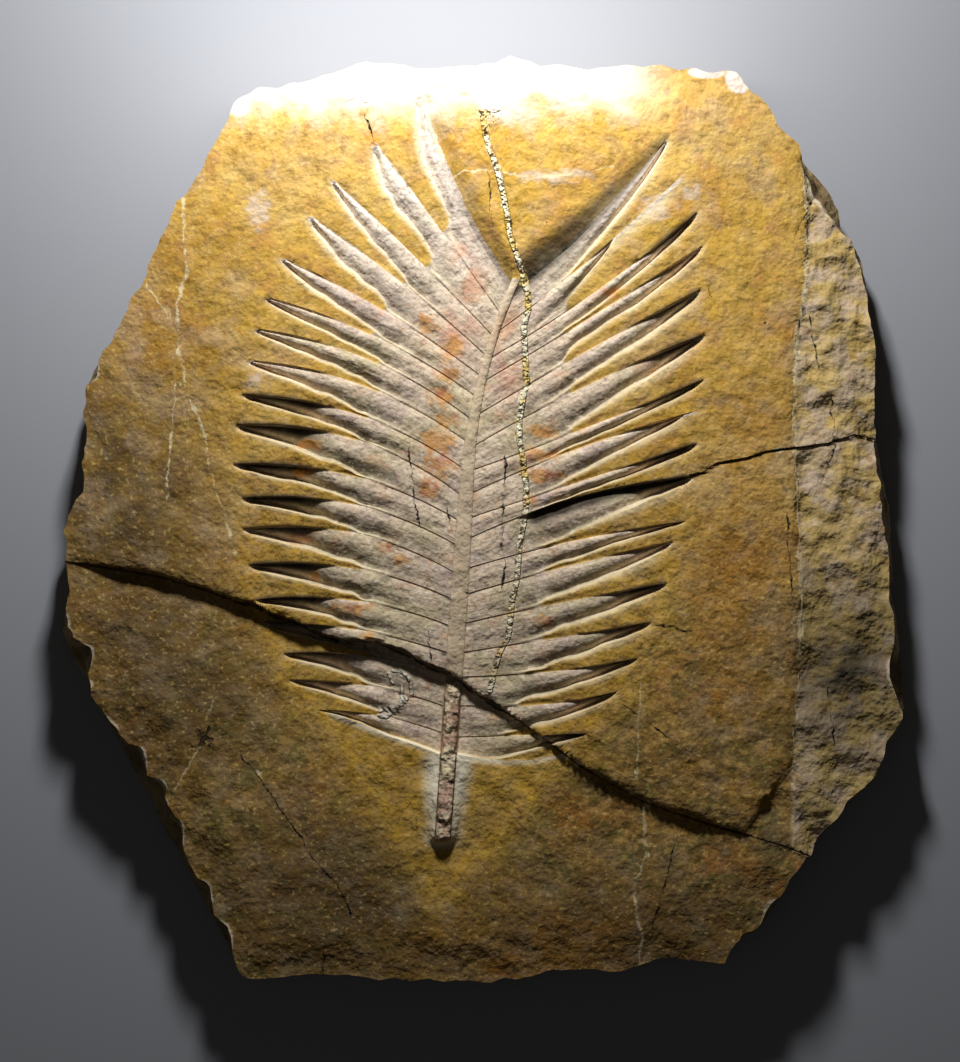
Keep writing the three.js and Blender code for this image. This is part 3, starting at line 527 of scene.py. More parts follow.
def half_plate(printed, middle_x, middle_y):
    """All loops of one half: crown, leaflets, margin, side above and below its furthest
    line, and back. Returns the columns by name, each an array of rays by loops."""
    root_x, root_y = printed["x"][:, :1], printed["y"][:, :1]
    root_h = printed["height"][:, :1]
    s = CROWN_STATIONS[None, :]
    crown = np.maximum(crown_height(middle_x, middle_y), root_h)
    x = [mixed(middle_x, root_x, s), printed["x"]]
    y = [mixed(middle_y, root_y, s), printed["y"]]
    height = [mixed(root_h, crown, np.sqrt(1 - s ** 2)), printed["height"]]

    tip_x, tip_y = printed["x"][:, -1:], printed["y"][:, -1:]
    edge_x, edge_y, chip, turn = toward_outline(tip_x, tip_y)
    arc = turn * MEAN_RADIUS
    away = np.hypot(edge_x - CHIPS[:, 0], edge_y - CHIPS[:, 1]) / CHIPS[:, 2]
    chipped = np.clip(1 - away ** 2, 0, 1).max(1, keepdims=True)
    ragged = 0.35 * (1 + grain(arc, 0 * arc, 5, 11)) + 0.25 * (1 + grain(arc, 0 * arc, 2.2, 12))
    edge_x, edge_y = moved_in(edge_x, edge_y, ragged)
    inset = chip * mixed(0.75, 1.15, chipped) + 0.9 * grain(arc, 0 * arc, 6, 13)
    rim_x, rim_y = moved_in(edge_x, edge_y, inset)
    s = MARGIN_STATIONS[None, :]
    across_x, across_y = mixed(tip_x, rim_x, s), mixed(tip_y, rim_y, s)
    width = np.hypot(rim_x - tip_x, rim_y - tip_y)
    fall = EDGE_FALL * (1 - eased(0, EDGE_WIDTH, (1 - s) * width))
    x.append(across_x)
    y.append(across_y)
    height.append(stalk_height(across_x, across_y) - fall)

    x, y, height = (np.concatenate(part, 1) for part in (x, y, height))
    loops = x.shape[1]
    spike = np.ones(x.shape)
    spike[:, FIRST:BEYOND] = printed["stone"]
    sunk_rib = (middle_y < APEX_Y) & (middle_y > LEAF_FOOT_Y)
    spike[:, :FIRST] = np.where(sunk_rib, 0, 1)
    outside = np.clip((np.arange(loops) - BEYOND) / SPREAD_OUT, 0, 1)
    reach = mixed(DRAWN_FROM, DRAWN_OUTSIDE, outside)[None, :]
    drop, rough = slipped(x, y, reach), in_margin(x, y, reach)
    y = drawn_to(CRACK, x, y, reach)
    y = np.where((x > 90) & (x < 180), drawn_to(SIDE_CRACK, x, y, DRAWN_FROM), y)
    x = drawn_to(LEDGE[:, ::-1], y, x, reach)
    z = level(x, y, height, 1 - spike, drop, rough)

    # Side: out and down to its furthest line, then in and down to the back.
    s = SIDE_STATIONS[None, :]
    scoop = np.abs(grain(arc + 9 * s, 18 * s, 9, 14)) + 0.5 * np.abs(grain(arc, 18 * s, 4, 15))
    scoop = np.sin(math.pi * s) * (0.6 + 0.16 * chip) * scoop
    upper_x, upper_y = mixed(rim_x, edge_x, s), mixed(rim_y, edge_y, s)
    upper_x, upper_y = moved_in(upper_x, upper_y, scoop)
    upper_z = mixed(z[:, -1:], WIDEST_AT * THICKNESS, s ** mixed(1, 0.35, chipped))
    back_x, back_y = moved_in(edge_x, edge_y, BACK_INSET)
    lower_x, lower_y = mixed(edge_x, back_x, s), mixed(edge_y, back_y, s)
    lower_x, lower_y = moved_in(lower_x, lower_y, scoop[:, ::-1] * (s < 1))
    lower_z = mixed(WIDEST_AT * THICKNESS, 0, s) + 0 * back_x
    s = BACK_STATIONS[None, :]
    slit_y = mixed(SLIT_HALF, -SLIT_HALF, np.arange(RAYS + 1) / RAYS)[:, None]
    flat_x, flat_y = mixed(back_x, SLIT_X, s), mixed(back_y, slit_y, s)

    x = np.concatenate([x, upper_x, lower_x, flat_x], 1)
    y = np.concatenate([y, upper_y, lower_y, flat_y], 1)
    z = np.concatenate([z, upper_z, lower_z, 0 * flat_x], 1)

    def widened(column, crown_value, beyond):
        """A column of the print carried over all the loops."""
        full = np.full(x.shape, float(beyond))
        full[:, :FIRST] = crown_value
        full[:, FIRST:BEYOND] = column
        return full

    near_leaf = widened(1 + 0 * printed["along"], 1, 0)
    near_leaf[:, BEYOND:loops] = np.exp(-np.hypot(across_x - tip_x, across_y - tip_y) / LEAF_GLOW)
    number = widened(printed["number"], -5.4, 0)
    number[:, BEYOND:] = printed["number"][:, -1:]
    # Where the chips' rims get a painted highlight.
    rim = np.zeros(x.shape)
    rim[:, BEYOND:loops] = chipped * np.exp(-(1 - MARGIN_STATIONS) * width / RIM_WIDTH)
    rim[:, loops:loops + 2] = chipped
    broken = np.zeros(x.shape)
    broken[:, loops:] = 1
    stone = np.ones(x.shape)
    stone[:, :loops] = spike
    return {
        "x": x, "y": y, "z": z, "stone": stone, "broken": broken, "number": number,
        "wall": widened(printed["wall"], 0, 0), "rim": rim,
        "deep": widened(printed["deep"], 0, 0),
        "gap": widened(printed["gap"], NO_GAP, NO_GAP),
        "along": widened(printed["along"], 0, 1),
        "rib": widened(0 * printed["along"], np.where(sunk_rib, 1, 0), 0),
        "near_leaf": near_leaf,
    }


right = half_print(RIGHT_EDGES, 1, TORN_LEAFLET, 0.34, {2: 0.15, 4: 0.3}, 0.4, 0.66)
left = half_print(LEFT_EDGES, -1, -1, 0.44, {1: 0.3, 2: 0.35, 4: 0.15}, 0.15, 0.54)
middle_y = (right["centre_y"] + left["centre_y"]) / 2
middle_x = rib_x(middle_y)
right = half_plate(right, middle_x, middle_y)
left = half_plate(left, middle_x, middle_y)
plate = {name: np.concatenate([right[name], left[name][-2:0:-1]]) for name in right}

x, y, z = plate["x"], plate["y"], plate["z"]
around, loops = x.shape
index = np.arange(around * loops).reshape(around, loops)
mirrored = 2 * RAYS - np.arange(RAYS + 1, around)
index[RAYS + 1:, 0] = index[mirrored, 0]
index[RAYS + 1:, -1] = index[mirrored, -1]
following = np.roll(index, -1, axis=0)
faces = np.stack([index[:, :-1], following[:, :-1], following[:, 1:], index[:, 1:]], 2).reshape(-1, 4)
used, faces = np.unique(faces, return_inverse=True)
faces = faces.reshape(-1, 4)
columns = {name: values.ravel()[used] for name, values in plate.items()}
x, y, z = columns["x"], columns["y"], columns["z"]

low, high = np.array(cad_box[0]) * 1000, np.array(cad_box[1]) * 1000
z = np.clip(z, low[2], high[2])
drawing = np.stack([x, y], 1)
spans = drawing.max(0) - drawing.min(0)
fitted = low[:2] + (drawing - drawing.min(0)) * (high - low)[:2] / spans
points = np.column_stack([fitted, z]) / 1000

mesh = bpy.data.meshes.new("leaf_plate")
mesh.from_pydata(points.tolist(), [], faces.tolist())
mesh.validate()
mesh.shade_smooth()
mesh.set_sharp_from_angle(angle=math.radians(40))
plate_object = bpy.data.objects.new("leaf_plate", mesh)
bpy.context.collection.objects.link(plate_object)


# ---- where the plate's colours and lines are, kept on the mesh for its finish

# Each line: half-width, then x, y along it.
CALCITE_VEIN = [(1.3, [
    (0, 178), (1, 170), (3, 163), (5, 158), (7, 151), (9, 143), (10.5, 135), (11, 130),
    (12, 124), (14, 119), (16, 113), (17.5, 109), (18, 104), (20, 99), (20, 92), (18, 85),
    (18.5, 75), (19, 65), (19.5, 60), (18, 55), (16, 43), (16, 35), (17.5, 28), (18, 22),
    (19, 15), (19, 5), (18, -2), (16, -12), (15.5, -20), (15, -27), (13, -35), (12, -45),
    (11, -53), (7, -60), (5, -68), (3, -76)]), (0.8, [(-1, 180), (6, 180)])]
PALE_VEINS = [
    (0.6, [(-132, 146), (-132, 130), (-131, 118), (-130, 110), (-133, 100), (-135, 92),
           (-134, 78), (-132, 65), (-131, 58)]),
    (0.5, [(-129, 52), (-126, 47), (-123, 38), (-121, 28), (-119, 15), (-115, 5), (-112, -5),
           (-109, -15)]),
    (0.4, [(-135, 60), (-136, 50), (-138, 30), (-139, 10)]),
    (0.3, [(-148, 103), (-138, 88)]),
    (0.8, LEDGE[3:].tolist()), (0.6, [(137, -107), (137, -147)]),
    (0.6, [(69, -75), (69, -85), (68, -100), (67.5, -112)]),
    (0.6, [(71, -130), (72, -148), (70, -155), (67, -165), (68, -175), (71, -185), (69, -199)]),
    (0.4, [(-119, -81), (-121, -86)]), (0.4, [(-125, -101), (-137.5, -122)]),
    (0.9, [(-28, 192), (-22, 170), (-18, 160)]),
    (0.4, [(-13, 151), (-8, 153.5), (0, 154), (20, 150), (35, 151), (57, 155)]),
]
# Dark cracks; the wide stroke along the middle of the main crack is painted shadow of its step.
CRACKS = [
    (0.5, CRACK[:-1].tolist()), (1.3, CRACK[4:18].tolist()), (0.45, SIDE_CRACK[4:].tolist()),
    (0.7, [(-126, -96), (-120, -98)]), (0.7, [(-125, -100), (-121, -93.6)]),
    (0.6, [(-125.6, -94), (-120.8, -100.4)]),
]
HAIRS = [
    (0.45, [(10, 27), (10, 15), (9, 8), (8.5, -3), (8, -12), (9.5, -20), (9, -30)]),
    (0.3, [(2, 153), (3, 145), (4.5, 125)]),
    (0.3, [(-33, 36), (-32, 21), (-30, 8), (-26.5, -8)]), (0.3, [(-16, 5), (-14, -4)]),
    (0.3, [(-24.6, -51), (-22, -64)]), (0.35, [(134, 0), (136, -35)]),
    (0.4, [(150, 149), (137, 125)]), (0.4, [(144, 89), (146, 77), (148.5, 68)]),
    (0.4, [(154, 52), (155.5, 31), (148, 12)]), (0.4, [(152.6, -77), (155.4, -99)]),
    (0.4, [(88, -138), (84, -147), (82, -157), (78, -170), (75, -180)]),
    (0.4, [(-107, -105), (-100, -113), (-85, -135), (-75, -150), (-65, -162), (-58, -175)]),
    (0.3, [(60, -81), (82, -97)]), (0.3, [(76, -47), (90, -50)]),
    (0.35, [(-52, 178), (-48, 167)]), (0.3, [(-60, 184), (-56, 187), (-52, 184)]),
    (0.3, [(-161, -16), (-149.5, -21.5)]), (0.35, [(-71, -194), (-71, -201)]),
    (0.35, [(98, 104), (100, 99)]),
]
ARC_STEP = [(-85, -167), (-79, -162), (-68, -158), (-55, -158)]
FLAKE_X, FLAKE_Y = 136.5, -107         # left of and below these the face is smooth to the crack

# Each patch: x, y, half-width, half-height.
RUST = [
    (-17.5, 54, 7, 5), (-17.5, 43, 6, 5), (-20, 34, 9, 5), (-20, 23, 8, 6), (-23, 13, 6, 4),
    (-43.5, -13.5, 3.5, 2.5), (-36, -18, 4, 2.5), (-76, 33, 7, 2.5), (-80, 20, 5, 2),
    (-81, -9.5, 6, 2), (-74, -26, 2, 4), (-56, -40, 9.5, 2.4), (-65, -39, 3, 3),
    (-51, -52, 3, 3), (-24, 86, 5, 5), (-13, 76, 5, 5), (-15, 65, 6, 5),
    (-52, 178, 3, 3), (-48, 167, 3, 3), (25.5, 39, 8, 4.5), (25.5, 28, 8, 4), (26.5, 19, 8, 4),
    (22, 8, 3, 3), (57, 100, 5, 3), (27, -45, 4, 3),
]
WASH = [(-8.5, 117, 5, 14), (-6, 102, 9, 26), (11.5, 76, 6, 26), (-15, 85, 9, 14)]
MAUVE = [
    (76.5, 137, 9, 7), (93, 143.5, 6, 3.5), (-99, 136, 6, 10), (-99.5, 60, 5.5, 4),
    (31, 151, 16, 4),
]
# Broad darker patches towards the sides and the bottom: partly the stone's own browner colour, partly
# painted shade where the light falls off.
DUSKY_AND_FALLOFF_SHADE = [
    (-160, 10, 48, 75), (-130, -75, 60, 40), (-60, -170, 90, 45), (60, -185, 80, 26),
    (160, -66, 26, 34), (-150, -50, 36, 36),
]
AMBER = [(114, -20, 24, 70), (-150, 95, 20, 40), (20, -190, 50, 16)]
FRESH = [(-108, 183.5, 5, 6.5), (112.5, 194.5, 5.5, 7.5), (98, 197.5, 9, 3.5)]
CREAM = [
    (67, -113, 1.2, 1.5), (73, -150, 1.2, 1.5), (68, -198, 1.2, 1.5), (70, -127, 1.2, 1.5),
    (130, 30, 3, 1.2), (-99, -112.5, 2, 1.2), (142.5, 27, 3.5, 2.2), (-176, -73.5, 4.5, 3),
    (-142.5, -127, 4, 4), (-15.8, -113, 3.4, 3.2),
    (37, -105, 2.5, 1.2), (42, -108.5, 2.5, 1.2), (66, -122.5, 3, 1), (73, -126.5, 3, 1),
]
PITS = [
    (124, 86, 1, 1), (139, 139, 1, 1), (28, 131, 0.9, 0.9), (74, 161, 0.9, 0.9),
    (-8, 101, 0.9, 0.9), (10, 91, 0.9, 0.9), (-123, -97, 1.9, 1.8),
]

# The leaf's lower edge.
LEAF_FOOT = np.array([
    [-78, -81], [-68, -86], [-49, -93.5], [-35, -98.2], [-18, -103.5], [0, -106.5], [10, -107.3],
    [22, -106.6], [38, -103.2], [47, -97.5],
], float)


def nearest_line(lines, x, y):
    """Signed distance to the nearest of the lines, and that line's half-width, which runs
    out to nothing past its ends."""
    nearest, width, score = np.full(x.shape, 99.0), np.zeros(x.shape), np.full(x.shape, 99.0)
    for half_width, line in lines:
        (ax, ay), (bx, by) = line[0], line[-1]
        off, past = off_line(line, x, y, upright=abs(by - ay) > abs(bx - ax))
        this_score = np.abs(off) + 3 * past - half_width
        closer = this_score < score
        nearest = np.where(closer, off, nearest)
        width = np.where(closer, half_width * (1 - eased(0.2, 2.5, past)), width)
        score = np.where(closer, this_score, score)
    return nearest, width


LINES = {"calcite": CALCITE_VEIN, "veins": PALE_VEINS, "cracks": CRACKS, "hairs": HAIRS}
for name, lines in LINES.items():
    columns[name], columns[name + "_width"] = nearest_line(lines, x, y)
arc_step, past_arc = off_line(ARC_STEP, x, y, upright=False)
columns["arc_step"] = (1 - eased(0, 5, arc_step)) * eased(-1, 0.5, arc_step)
columns["arc_step"] = columns["arc_step"] * (1 - eased(0, 6, past_arc))
on_face = 1 - columns["broken"]
SPOTS = {
    "rust": RUST, "wash": WASH, "mauve": MAUVE, "dusky": DUSKY_AND_FALLOFF_SHADE, "amber": AMBER,
    "cream": CREAM, "pits": PITS,
}
for name, spots in SPOTS.items():
    columns[name] = patches(spots, x, y) * on_face
columns["fresh"] = patches(FRESH, x, y) * eased(9, 20, columns["z"])
columns["crust"] = from_crusts(x, y)
columns["margin"] = in_margin(x, y, 0.3) * np.where(y < FLAKE_Y, eased(-1, 1, x - FLAKE_X), 1)

off_rib = np.abs(x - rib_x(y))
columns["stalk"] = (1 - eased(2.8, 3.8, off_rib)) * eased(-144, -142, y)
columns["stalk"] = columns["stalk"] * (1 - eased(-76, -68, y)) * on_face
scrape = mixed(12, 8.5, eased(-112, -136, y))
columns["scraped"] = (1 - eased(scrape - 8, scrape + 3, off_rib)) * eased(-149, -141, y)
columns["scraped"] = columns["scraped"] * (1 - eased(-108, -100, y)) * on_face

# The slope up from the leaf's lower edge, which faces the lamp, gets a painted highlight.
below = np.interp(x, LEAF_FOOT[:, 0], LEAF_FOOT[:, 1]) - y
ends = eased(-80, -66, x) * (1 - eased(36, 48, x))
columns["below_leaf"] = np.exp(-np.maximum(0, below) / 6) * eased(-0.8, 0.2, below) * ends * on_face

# The columns are kept on the mesh three to a vector, those that shape the relief together.
RELIEF_FIRST = [
    "stone", "number", "along", "cracks", "cracks_width", "crust", "calcite", "calcite_width",
    "broken", "stalk", "margin",
]
kept_names = RELIEF_FIRST + [name for name in columns if name not in [*RELIEF_FIRST, "x", "y", "z"]]
for first in range(0, len(kept_names), 3):
    trio = [columns[name] for name in kept_names[first:first + 3]]
    trio = np.stack(trio + [np.zeros(x.shape)] * (3 - len(trio)), axis=1)
    kept = mesh.attributes.new("_".join(kept_names[first:first + 3]), "FLOAT_VECTOR", "POINT")
    kept.data.foreach_set("vector", np.ascontiguousarray(trio, np.float32).ravel())


# ---- the plate's finish: matt ochre stone, mauve-grey where the leaf lay

stone = bpy.data.materials.new("leaf_stone")
stone.use_nodes = True
nodes, links = stone.node_tree.nodes, stone.node_tree.links
surface = nodes["Principled BSDF"]


def tone(red, green, blue):
    """A colour given as it looks on a screen, 0 to 255, in the shader's own scale."""
    channels = np.array([red, green, blue]) / 255
    return (*np.where(channels < 0.04045, channels / 12.92, ((channels + 0.055) / 1.055) ** 2.4), 1.0)


def plug(socket, value):
    """Joins a socket to another, or sets it to a plain value."""
    if isinstance(value, bpy.types.NodeSocket):
        links.new(value, socket)
    else:
        socket.default_value = value


def calc(kind, first, second=0.0, third=0.0):
    """One Math node."""
    node = nodes.new("ShaderNodeMath")
    node.operation = kind
    for socket, value in zip(node.inputs, (first, second, third)):
        plug(socket, value)
    return node.outputs[0]


def times(first, second):
    """Product of two values."""
    return calc("MULTIPLY", first, second)


def scaled(value, by, plus):
    """A value times another, plus a third."""
    return calc("MULTIPLY_ADD", value, by, plus)


def over(under, colour, share):
    """One colour laid over another."""
    node = nodes.new("ShaderNodeMix")
    node.data_type = "RGBA"
    plug(node.inputs[0], share)
    plug(node.inputs[6], under)
    plug(node.inputs[7], colour)
    return node.outputs[2]


def coats(under, layers):
    """Coats laid one over another: red, green and blue of each, and its share."""
    for red, green, blue, share in layers:
        under = over(under, tone(red, green, blue), share)
    return under


def rise(value, low, high, from_value=0.0, to_value=1.0):
    """Smooth change between two readings of a value."""
    node = nodes.new("ShaderNodeMapRange")
    node.interpolation_type = "SMOOTHSTEP"
    for socket, setting in zip(node.inputs, (value, low, high, from_value, to_value)):
        plug(socket, setting)
    return node.outputs[0]


trios = {}


def reading(name):
    """A column kept on the mesh: one part of the vector that holds it."""
    at = kept_names.index(name)
    first = at - at % 3
    if first not in trios:
        node = nodes.new("ShaderNodeAttribute")
        node.attribute_name = "_".join(kept_names[first:first + 3])
        split = nodes.new("ShaderNodeSeparateXYZ")
        plug(split.inputs[0], node.outputs["Vector"])
        trios[first] = split
    return trios[first].outputs[at % 3]


def mottle(place, size, detail=2.0, roughness=0.6):
    """Cloudy noise with patches of about that size in metres, from 0 to 1."""
    node = nodes.new("ShaderNodeTexNoise")
    plug(node.inputs["Vector"], place)
    node.inputs["Scale"].default_value = 1 / size
    node.inputs["Detail"].default_value = detail
    node.inputs["Roughness"].default_value = roughness
    return node.outputs["Fac"]


def stroke(name, waver, soft, thinnest=0.35, widest=1.5):
    """1 on the lines kept on the mesh and 0 off them. They waver by that many millimetres
    and swell and thin along their length between those shares of their width."""
    width = times(reading(name + "_width"), rise(swelling, 0.35, 0.65, thinnest, widest))
    inside = calc("SUBTRACT", width, calc("ABSOLUTE", calc("ADD", reading(name), waver)))
    return times(rise(inside, -soft, soft), rise(width, 0.03, 0.15))


place = nodes.new("ShaderNodeTexCoord").outputs["Object"]
broad = mottle(place, 0.06, 3, 0.55)
clouds = mottle(place, 0.028, 3)
patchy = mottle(place, 0.014, 3)
swelling = mottle(place, 0.009)
speckle = mottle(place, 0.005, 3)
grit = mottle(place, 0.0019, 2, 0.55)
waver = scaled(mottle(place, 0.007, 2, 0.55), 4.0, -2.0)
fine_waver = scaled(mottle(place, 0.0018, 1, 0.55), 1.8, -0.9)
both_wavers = calc("ADD", waver, fine_waver)
parts = nodes.new("ShaderNodeSeparateXYZ")
links.new(place, parts.inputs[0])
low_down = rise(parts.outputs[1], 0.08, -0.12)


def lower(high_up, down):
    """A share that changes from high up on the plate to low down."""
    return rise(low_down, 0.0, 1.0, high_up, down)


# Darker patches, partly the stone's colour and partly painted shade of the light's falloff.
dusky = times(reading("dusky"), rise(patchy, 0.3, 0.6, 0.55, 1.0))

# Ochre stone: yellow above and browner below, clouded with orange, mauve and olive. It is
# yellowest close to the leaf. Its top edge is whitened by a painted glare.
amber = times(reading("amber"), rise(clouds, 0.3, 0.6, 1.0, 0.5))
greyer = rise(mottle(place, 0.02), 0.52, 0.64)
near_leaf = times(reading("near_leaf"), rise(patchy, 0.3, 0.6, 1.0, 0.6))
mauve = reading("mauve")
clouded = times(rise(scaled(speckle, 2.6, mauve), 1.5, 2.3), rise(mauve, 0.05, 0.5))
# Painted glare: near-white paint along the top edge, but for its right-hand end, where the lamp is
# close.
up_clouded = scaled(patchy, 0.03, parts.outputs[1])
painted_glare = times(rise(up_clouded, 0.184, 0.208), rise(parts.outputs[0], 0.09, 0.05))
ochre = over(tone(204, 160, 62), tone(216, 176, 92), rise(broad, 0.4, 0.62))
ochre = coats(ochre, [
    (188, 126, 40, times(rise(patchy, 0.5, 0.66), 0.7)),
    (146, 108, 44, times(low_down, 0.75)),
    (166, 104, 36, times(rise(clouds, 0.5, 0.4), lower(0.2, 0.7))),
    (104, 104, 56, times(rise(patchy, 0.5, 0.4), lower(0.05, 0.75))),
    (92, 78, 38, times(rise(speckle, 0.52, 0.62), lower(0.15, 0.6))),
    (196, 160, 84, times(rise(speckle, 0.46, 0.36), lower(0.1, 0.5))),
    (90, 68, 32, dusky),
    (176, 118, 30, times(amber, 0.75)),
])
ochre = over(ochre, over(tone(192, 164, 128), tone(132, 114, 84), low_down), times(greyer, 0.4))
ochre = coats(ochre, [
    (222, 174, 56, times(near_leaf, lower(0.3, 0.8))),
    (150, 106, 42, times(rise(speckle, 0.52, 0.68), 0.4)),
    (112, 76, 34, times(rise(grit, 0.56, 0.7), rise(low_down, 0.0, 0.6, 0.3, 0.7))),
    (236, 204, 124, times(rise(grit, 0.43, 0.3), 0.4)),
    (222, 198, 172, times(clouded, 0.75)),
    (252, 246, 232, times(painted_glare, 0.75)),
])

# The rough margin and the broken side are duller, and the side shows its beds.
margin = reading("margin")
dull = coats(over(tone(212, 184, 118), tone(204, 178, 144), rise(patchy, 0.42, 0.6)), [
    (206, 180, 156, times(rise(clouds, 0.54, 0.66), 0.5)),
    (150, 112, 54, times(rise(speckle, 0.54, 0.68), 0.6)),
    (62, 52, 30, dusky),
])
ochre = over(ochre, dull, times(margin, rise(patchy, 0.35, 0.6, 0.65, 1.0)))
broken = reading("broken")
flattened = nodes.new("ShaderNodeCombineXYZ")
for socket, part, stretch in zip(flattened.inputs, parts.outputs, (0.3, 0.3, 3.0)):
    plug(socket, times(part, stretch))
beds = mottle(flattened.outputs[0], 0.01)
side = coats(over(tone(166, 142, 98), tone(118, 100, 68), rise(patchy, 0.4, 0.62)), [
    (134, 104, 58, times(rise(beds, 0.48, 0.58), 0.6)),
    (86, 70, 44, times(rise(speckle, 0.54, 0.64), 0.5)),
])
ochre = over(ochre, side, broken)
# Painted highlight on the rims of the chips.
painted_rim_highlight = rise(scaled(waver, 0.15, reading("rim")), 0.35, 0.7)
ochre = over(ochre, tone(232, 218, 190), times(painted_rim_highlight, 0.6))

# The leaf: pale and mottled with mauve, olive and rust, with painted shade in the valley towards each
# lower edge.
number, along, gap = reading("number"), reading("along"), reading("gap")


def lengthwise(stretch, count):
    """Streaks that run along the leaflets, that many across each."""
    streak = nodes.new("ShaderNodeCombineXYZ")
    plug(streak.inputs[0], times(along, stretch))
    plug(streak.inputs[1], times(number, count))
    return mottle(streak.outputs[0], 1.0)


stripes = lengthwise(7.0, 5.0)
from_seam = times(calc("SUBTRACT", calc("FRACT", calc("ADD", number, 0.5)), 0.5), gap)
across = calc("FRACT", number)
foot_shade = times(rise(across, 0.35, 0.7), rise(along, 0.12, 0.5, 0.1, 0.75))
foot_shade = times(foot_shade, rise(swelling, 0.36, 0.56, 0.4, 1.15))
foot_shade = times(foot_shade, rise(parts.outputs[1], 0.12, 0.0, 0.5, 1.1))
crease = rise(calc("ABSOLUTE", calc("SUBTRACT", lengthwise(2.0, 3.3), 0.5)), 0.004, 0.018, 1.0, 0.0)
crease = times(crease, rise(speckle, 0.58, 0.45))
rungs = rise(calc("ABSOLUTE", calc("SUBTRACT", lengthwise(30.0, 1.2), 0.5)), 0.004, 0.016, 1.0, 0.0)
rungs = times(rungs, times(rise(along, 0.4, 0.25), rise(patchy, 0.5, 0.6)))
crease = calc("MAXIMUM", crease, times(rungs, 0.7))
leaf = coats(over(tone(236, 214, 184), tone(214, 190, 164), rise(stripes, 0.38, 0.62)), [
    (196, 170, 164, times(rise(patchy, 0.48, 0.6), 0.55)),
    (200, 188, 134, times(rise(clouds, 0.49, 0.6), 0.5)),
    (222, 166, 120, times(rise(swelling, 0.56, 0.68), 0.4)),
    (92, 80, 58, foot_shade),
    (250, 236, 224, rise(parts.outputs[1], 0.07, 0.15, 0.0, 0.55)),
    (246, 234, 212, times(rise(grit, 0.45, 0.32), 0.5)),
    (122, 100, 90, times(rise(grit, 0.55, 0.7), 0.5)),
    (90, 68, 56, times(crease, 0.3)),
    (222, 198, 162, times(reading("rib"), 0.6)),
])

ragged = scaled(waver, 0.12, reading("stone"))
ragged = scaled(fine_waver, 0.12, ragged)
# Painted highlight on the lower walls that face the lamp.
wall = times(reading("wall"), rise(patchy, 0.3, 0.55, 0.6, 1.0))
wash = times(reading("wash"), rise(patchy, 0.4, 0.6))
colour = coats(over(leaf, ochre, rise(ragged, 0.36, 0.6)), [
    (244, 228, 188, times(wall, 0.6)),
    # painted shade in the deep pockets and along the wedge's edges
    (40, 32, 20, times(reading("deep"), 0.95)),
    (222, 146, 108, times(wash, 0.55)),
])
rust = reading("rust")
rusty = times(rise(scaled(speckle, 2.4, rust), 1.35, 2.1), rise(rust, 0.05, 0.3))
rust_colour = over(tone(216, 146, 50), tone(192, 98, 44), rise(swelling, 0.5, 0.64))
colour = over(colour, rust_colour, times(rusty, 0.7))

# Painted highlight on the slope below the leaf, which faces the lamp, pale stone scraped bare round the
# stalk, and the stalk itself.
below_leaf = reading("below_leaf")
scraped = scaled(waver, 0.12, reading("scraped"))
colour = coats(colour, [
    (222, 176, 66, rise(below_leaf, 0.15, 0.7, 0.0, 0.8)),
    (250, 240, 214, rise(below_leaf, 0.5, 1.0, 0.0, 0.95)),
    (248, 238, 210, rise(scraped, -0.1, 0.9, 0.0, 0.95)),
])
nodule = over(tone(190, 150, 126), tone(232, 214, 176), rise(speckle, 0.46, 0.58))
nodule = over(nodule, tone(108, 76, 58), times(rise(grit, 0.5, 0.64), 0.8))
on_stalk = scaled(fine_waver, 0.2, reading("stalk"))
colour = over(colour, nodule, rise(on_stalk, 0.45, 0.7, 0.0, 0.9))
outlined = rise(calc("ABSOLUTE", calc("SUBTRACT", on_stalk, 0.4)), 0.08, 0.3, 1.0, 0.0)
fresh = rise(scaled(waver, 0.1, reading("fresh")), 0.35, 0.55)
colour = coats(colour, [
    (84, 58, 42, times(outlined, rise(patchy, 0.35, 0.6, 0.15, 0.6))),
    (244, 226, 214, times(fresh, 0.85)),
])

# Painted shade in the seams between leaflets, under each small step, broken here and there.
in_leaf = times(rise(along, 0.02, 0.05), rise(along, 0.97, 0.9))
wandering = calc("ABSOLUTE", scaled(both_wavers, 0.22, from_seam))
seam_shade = times(rise(wandering, 0.1, 0.5, 1.0, 0.0), in_leaf)
seam_shade = times(seam_shade, rise(patchy, 0.6, 0.42, 0.1, 1.0))
colour = over(colour, tone(70, 44, 26), times(seam_shade, 0.28))

# Veins, cracks, and painted shadow along the main crack's step.
calcite = stroke("calcite", both_wavers, 0.3, 0.8, 1.3)
vein_colour = over(tone(250, 242, 206), tone(232, 200, 118), rise(swelling, 0.45, 0.6))
vein_colour = over(vein_colour, tone(84, 60, 32), rise(grit, 0.54, 0.62))
colour = over(colour, vein_colour, times(calcite, rise(parts.outputs[1], -0.03, 0.03, 0.45, 0.95)))
veined = times(stroke("veins", both_wavers, 0.3), rise(speckle, 0.6, 0.48, 0.25, 1.0))
veined = times(veined, lower(1.1, 0.7))
veined = calc("MAXIMUM", veined, rise(reading("cream"), 0.35, 0.6))
colour = over(colour, tone(238, 222, 176), times(veined, 0.7))
colour = over(colour, tone(96, 74, 48), times(reading("arc_step"), 0.6))
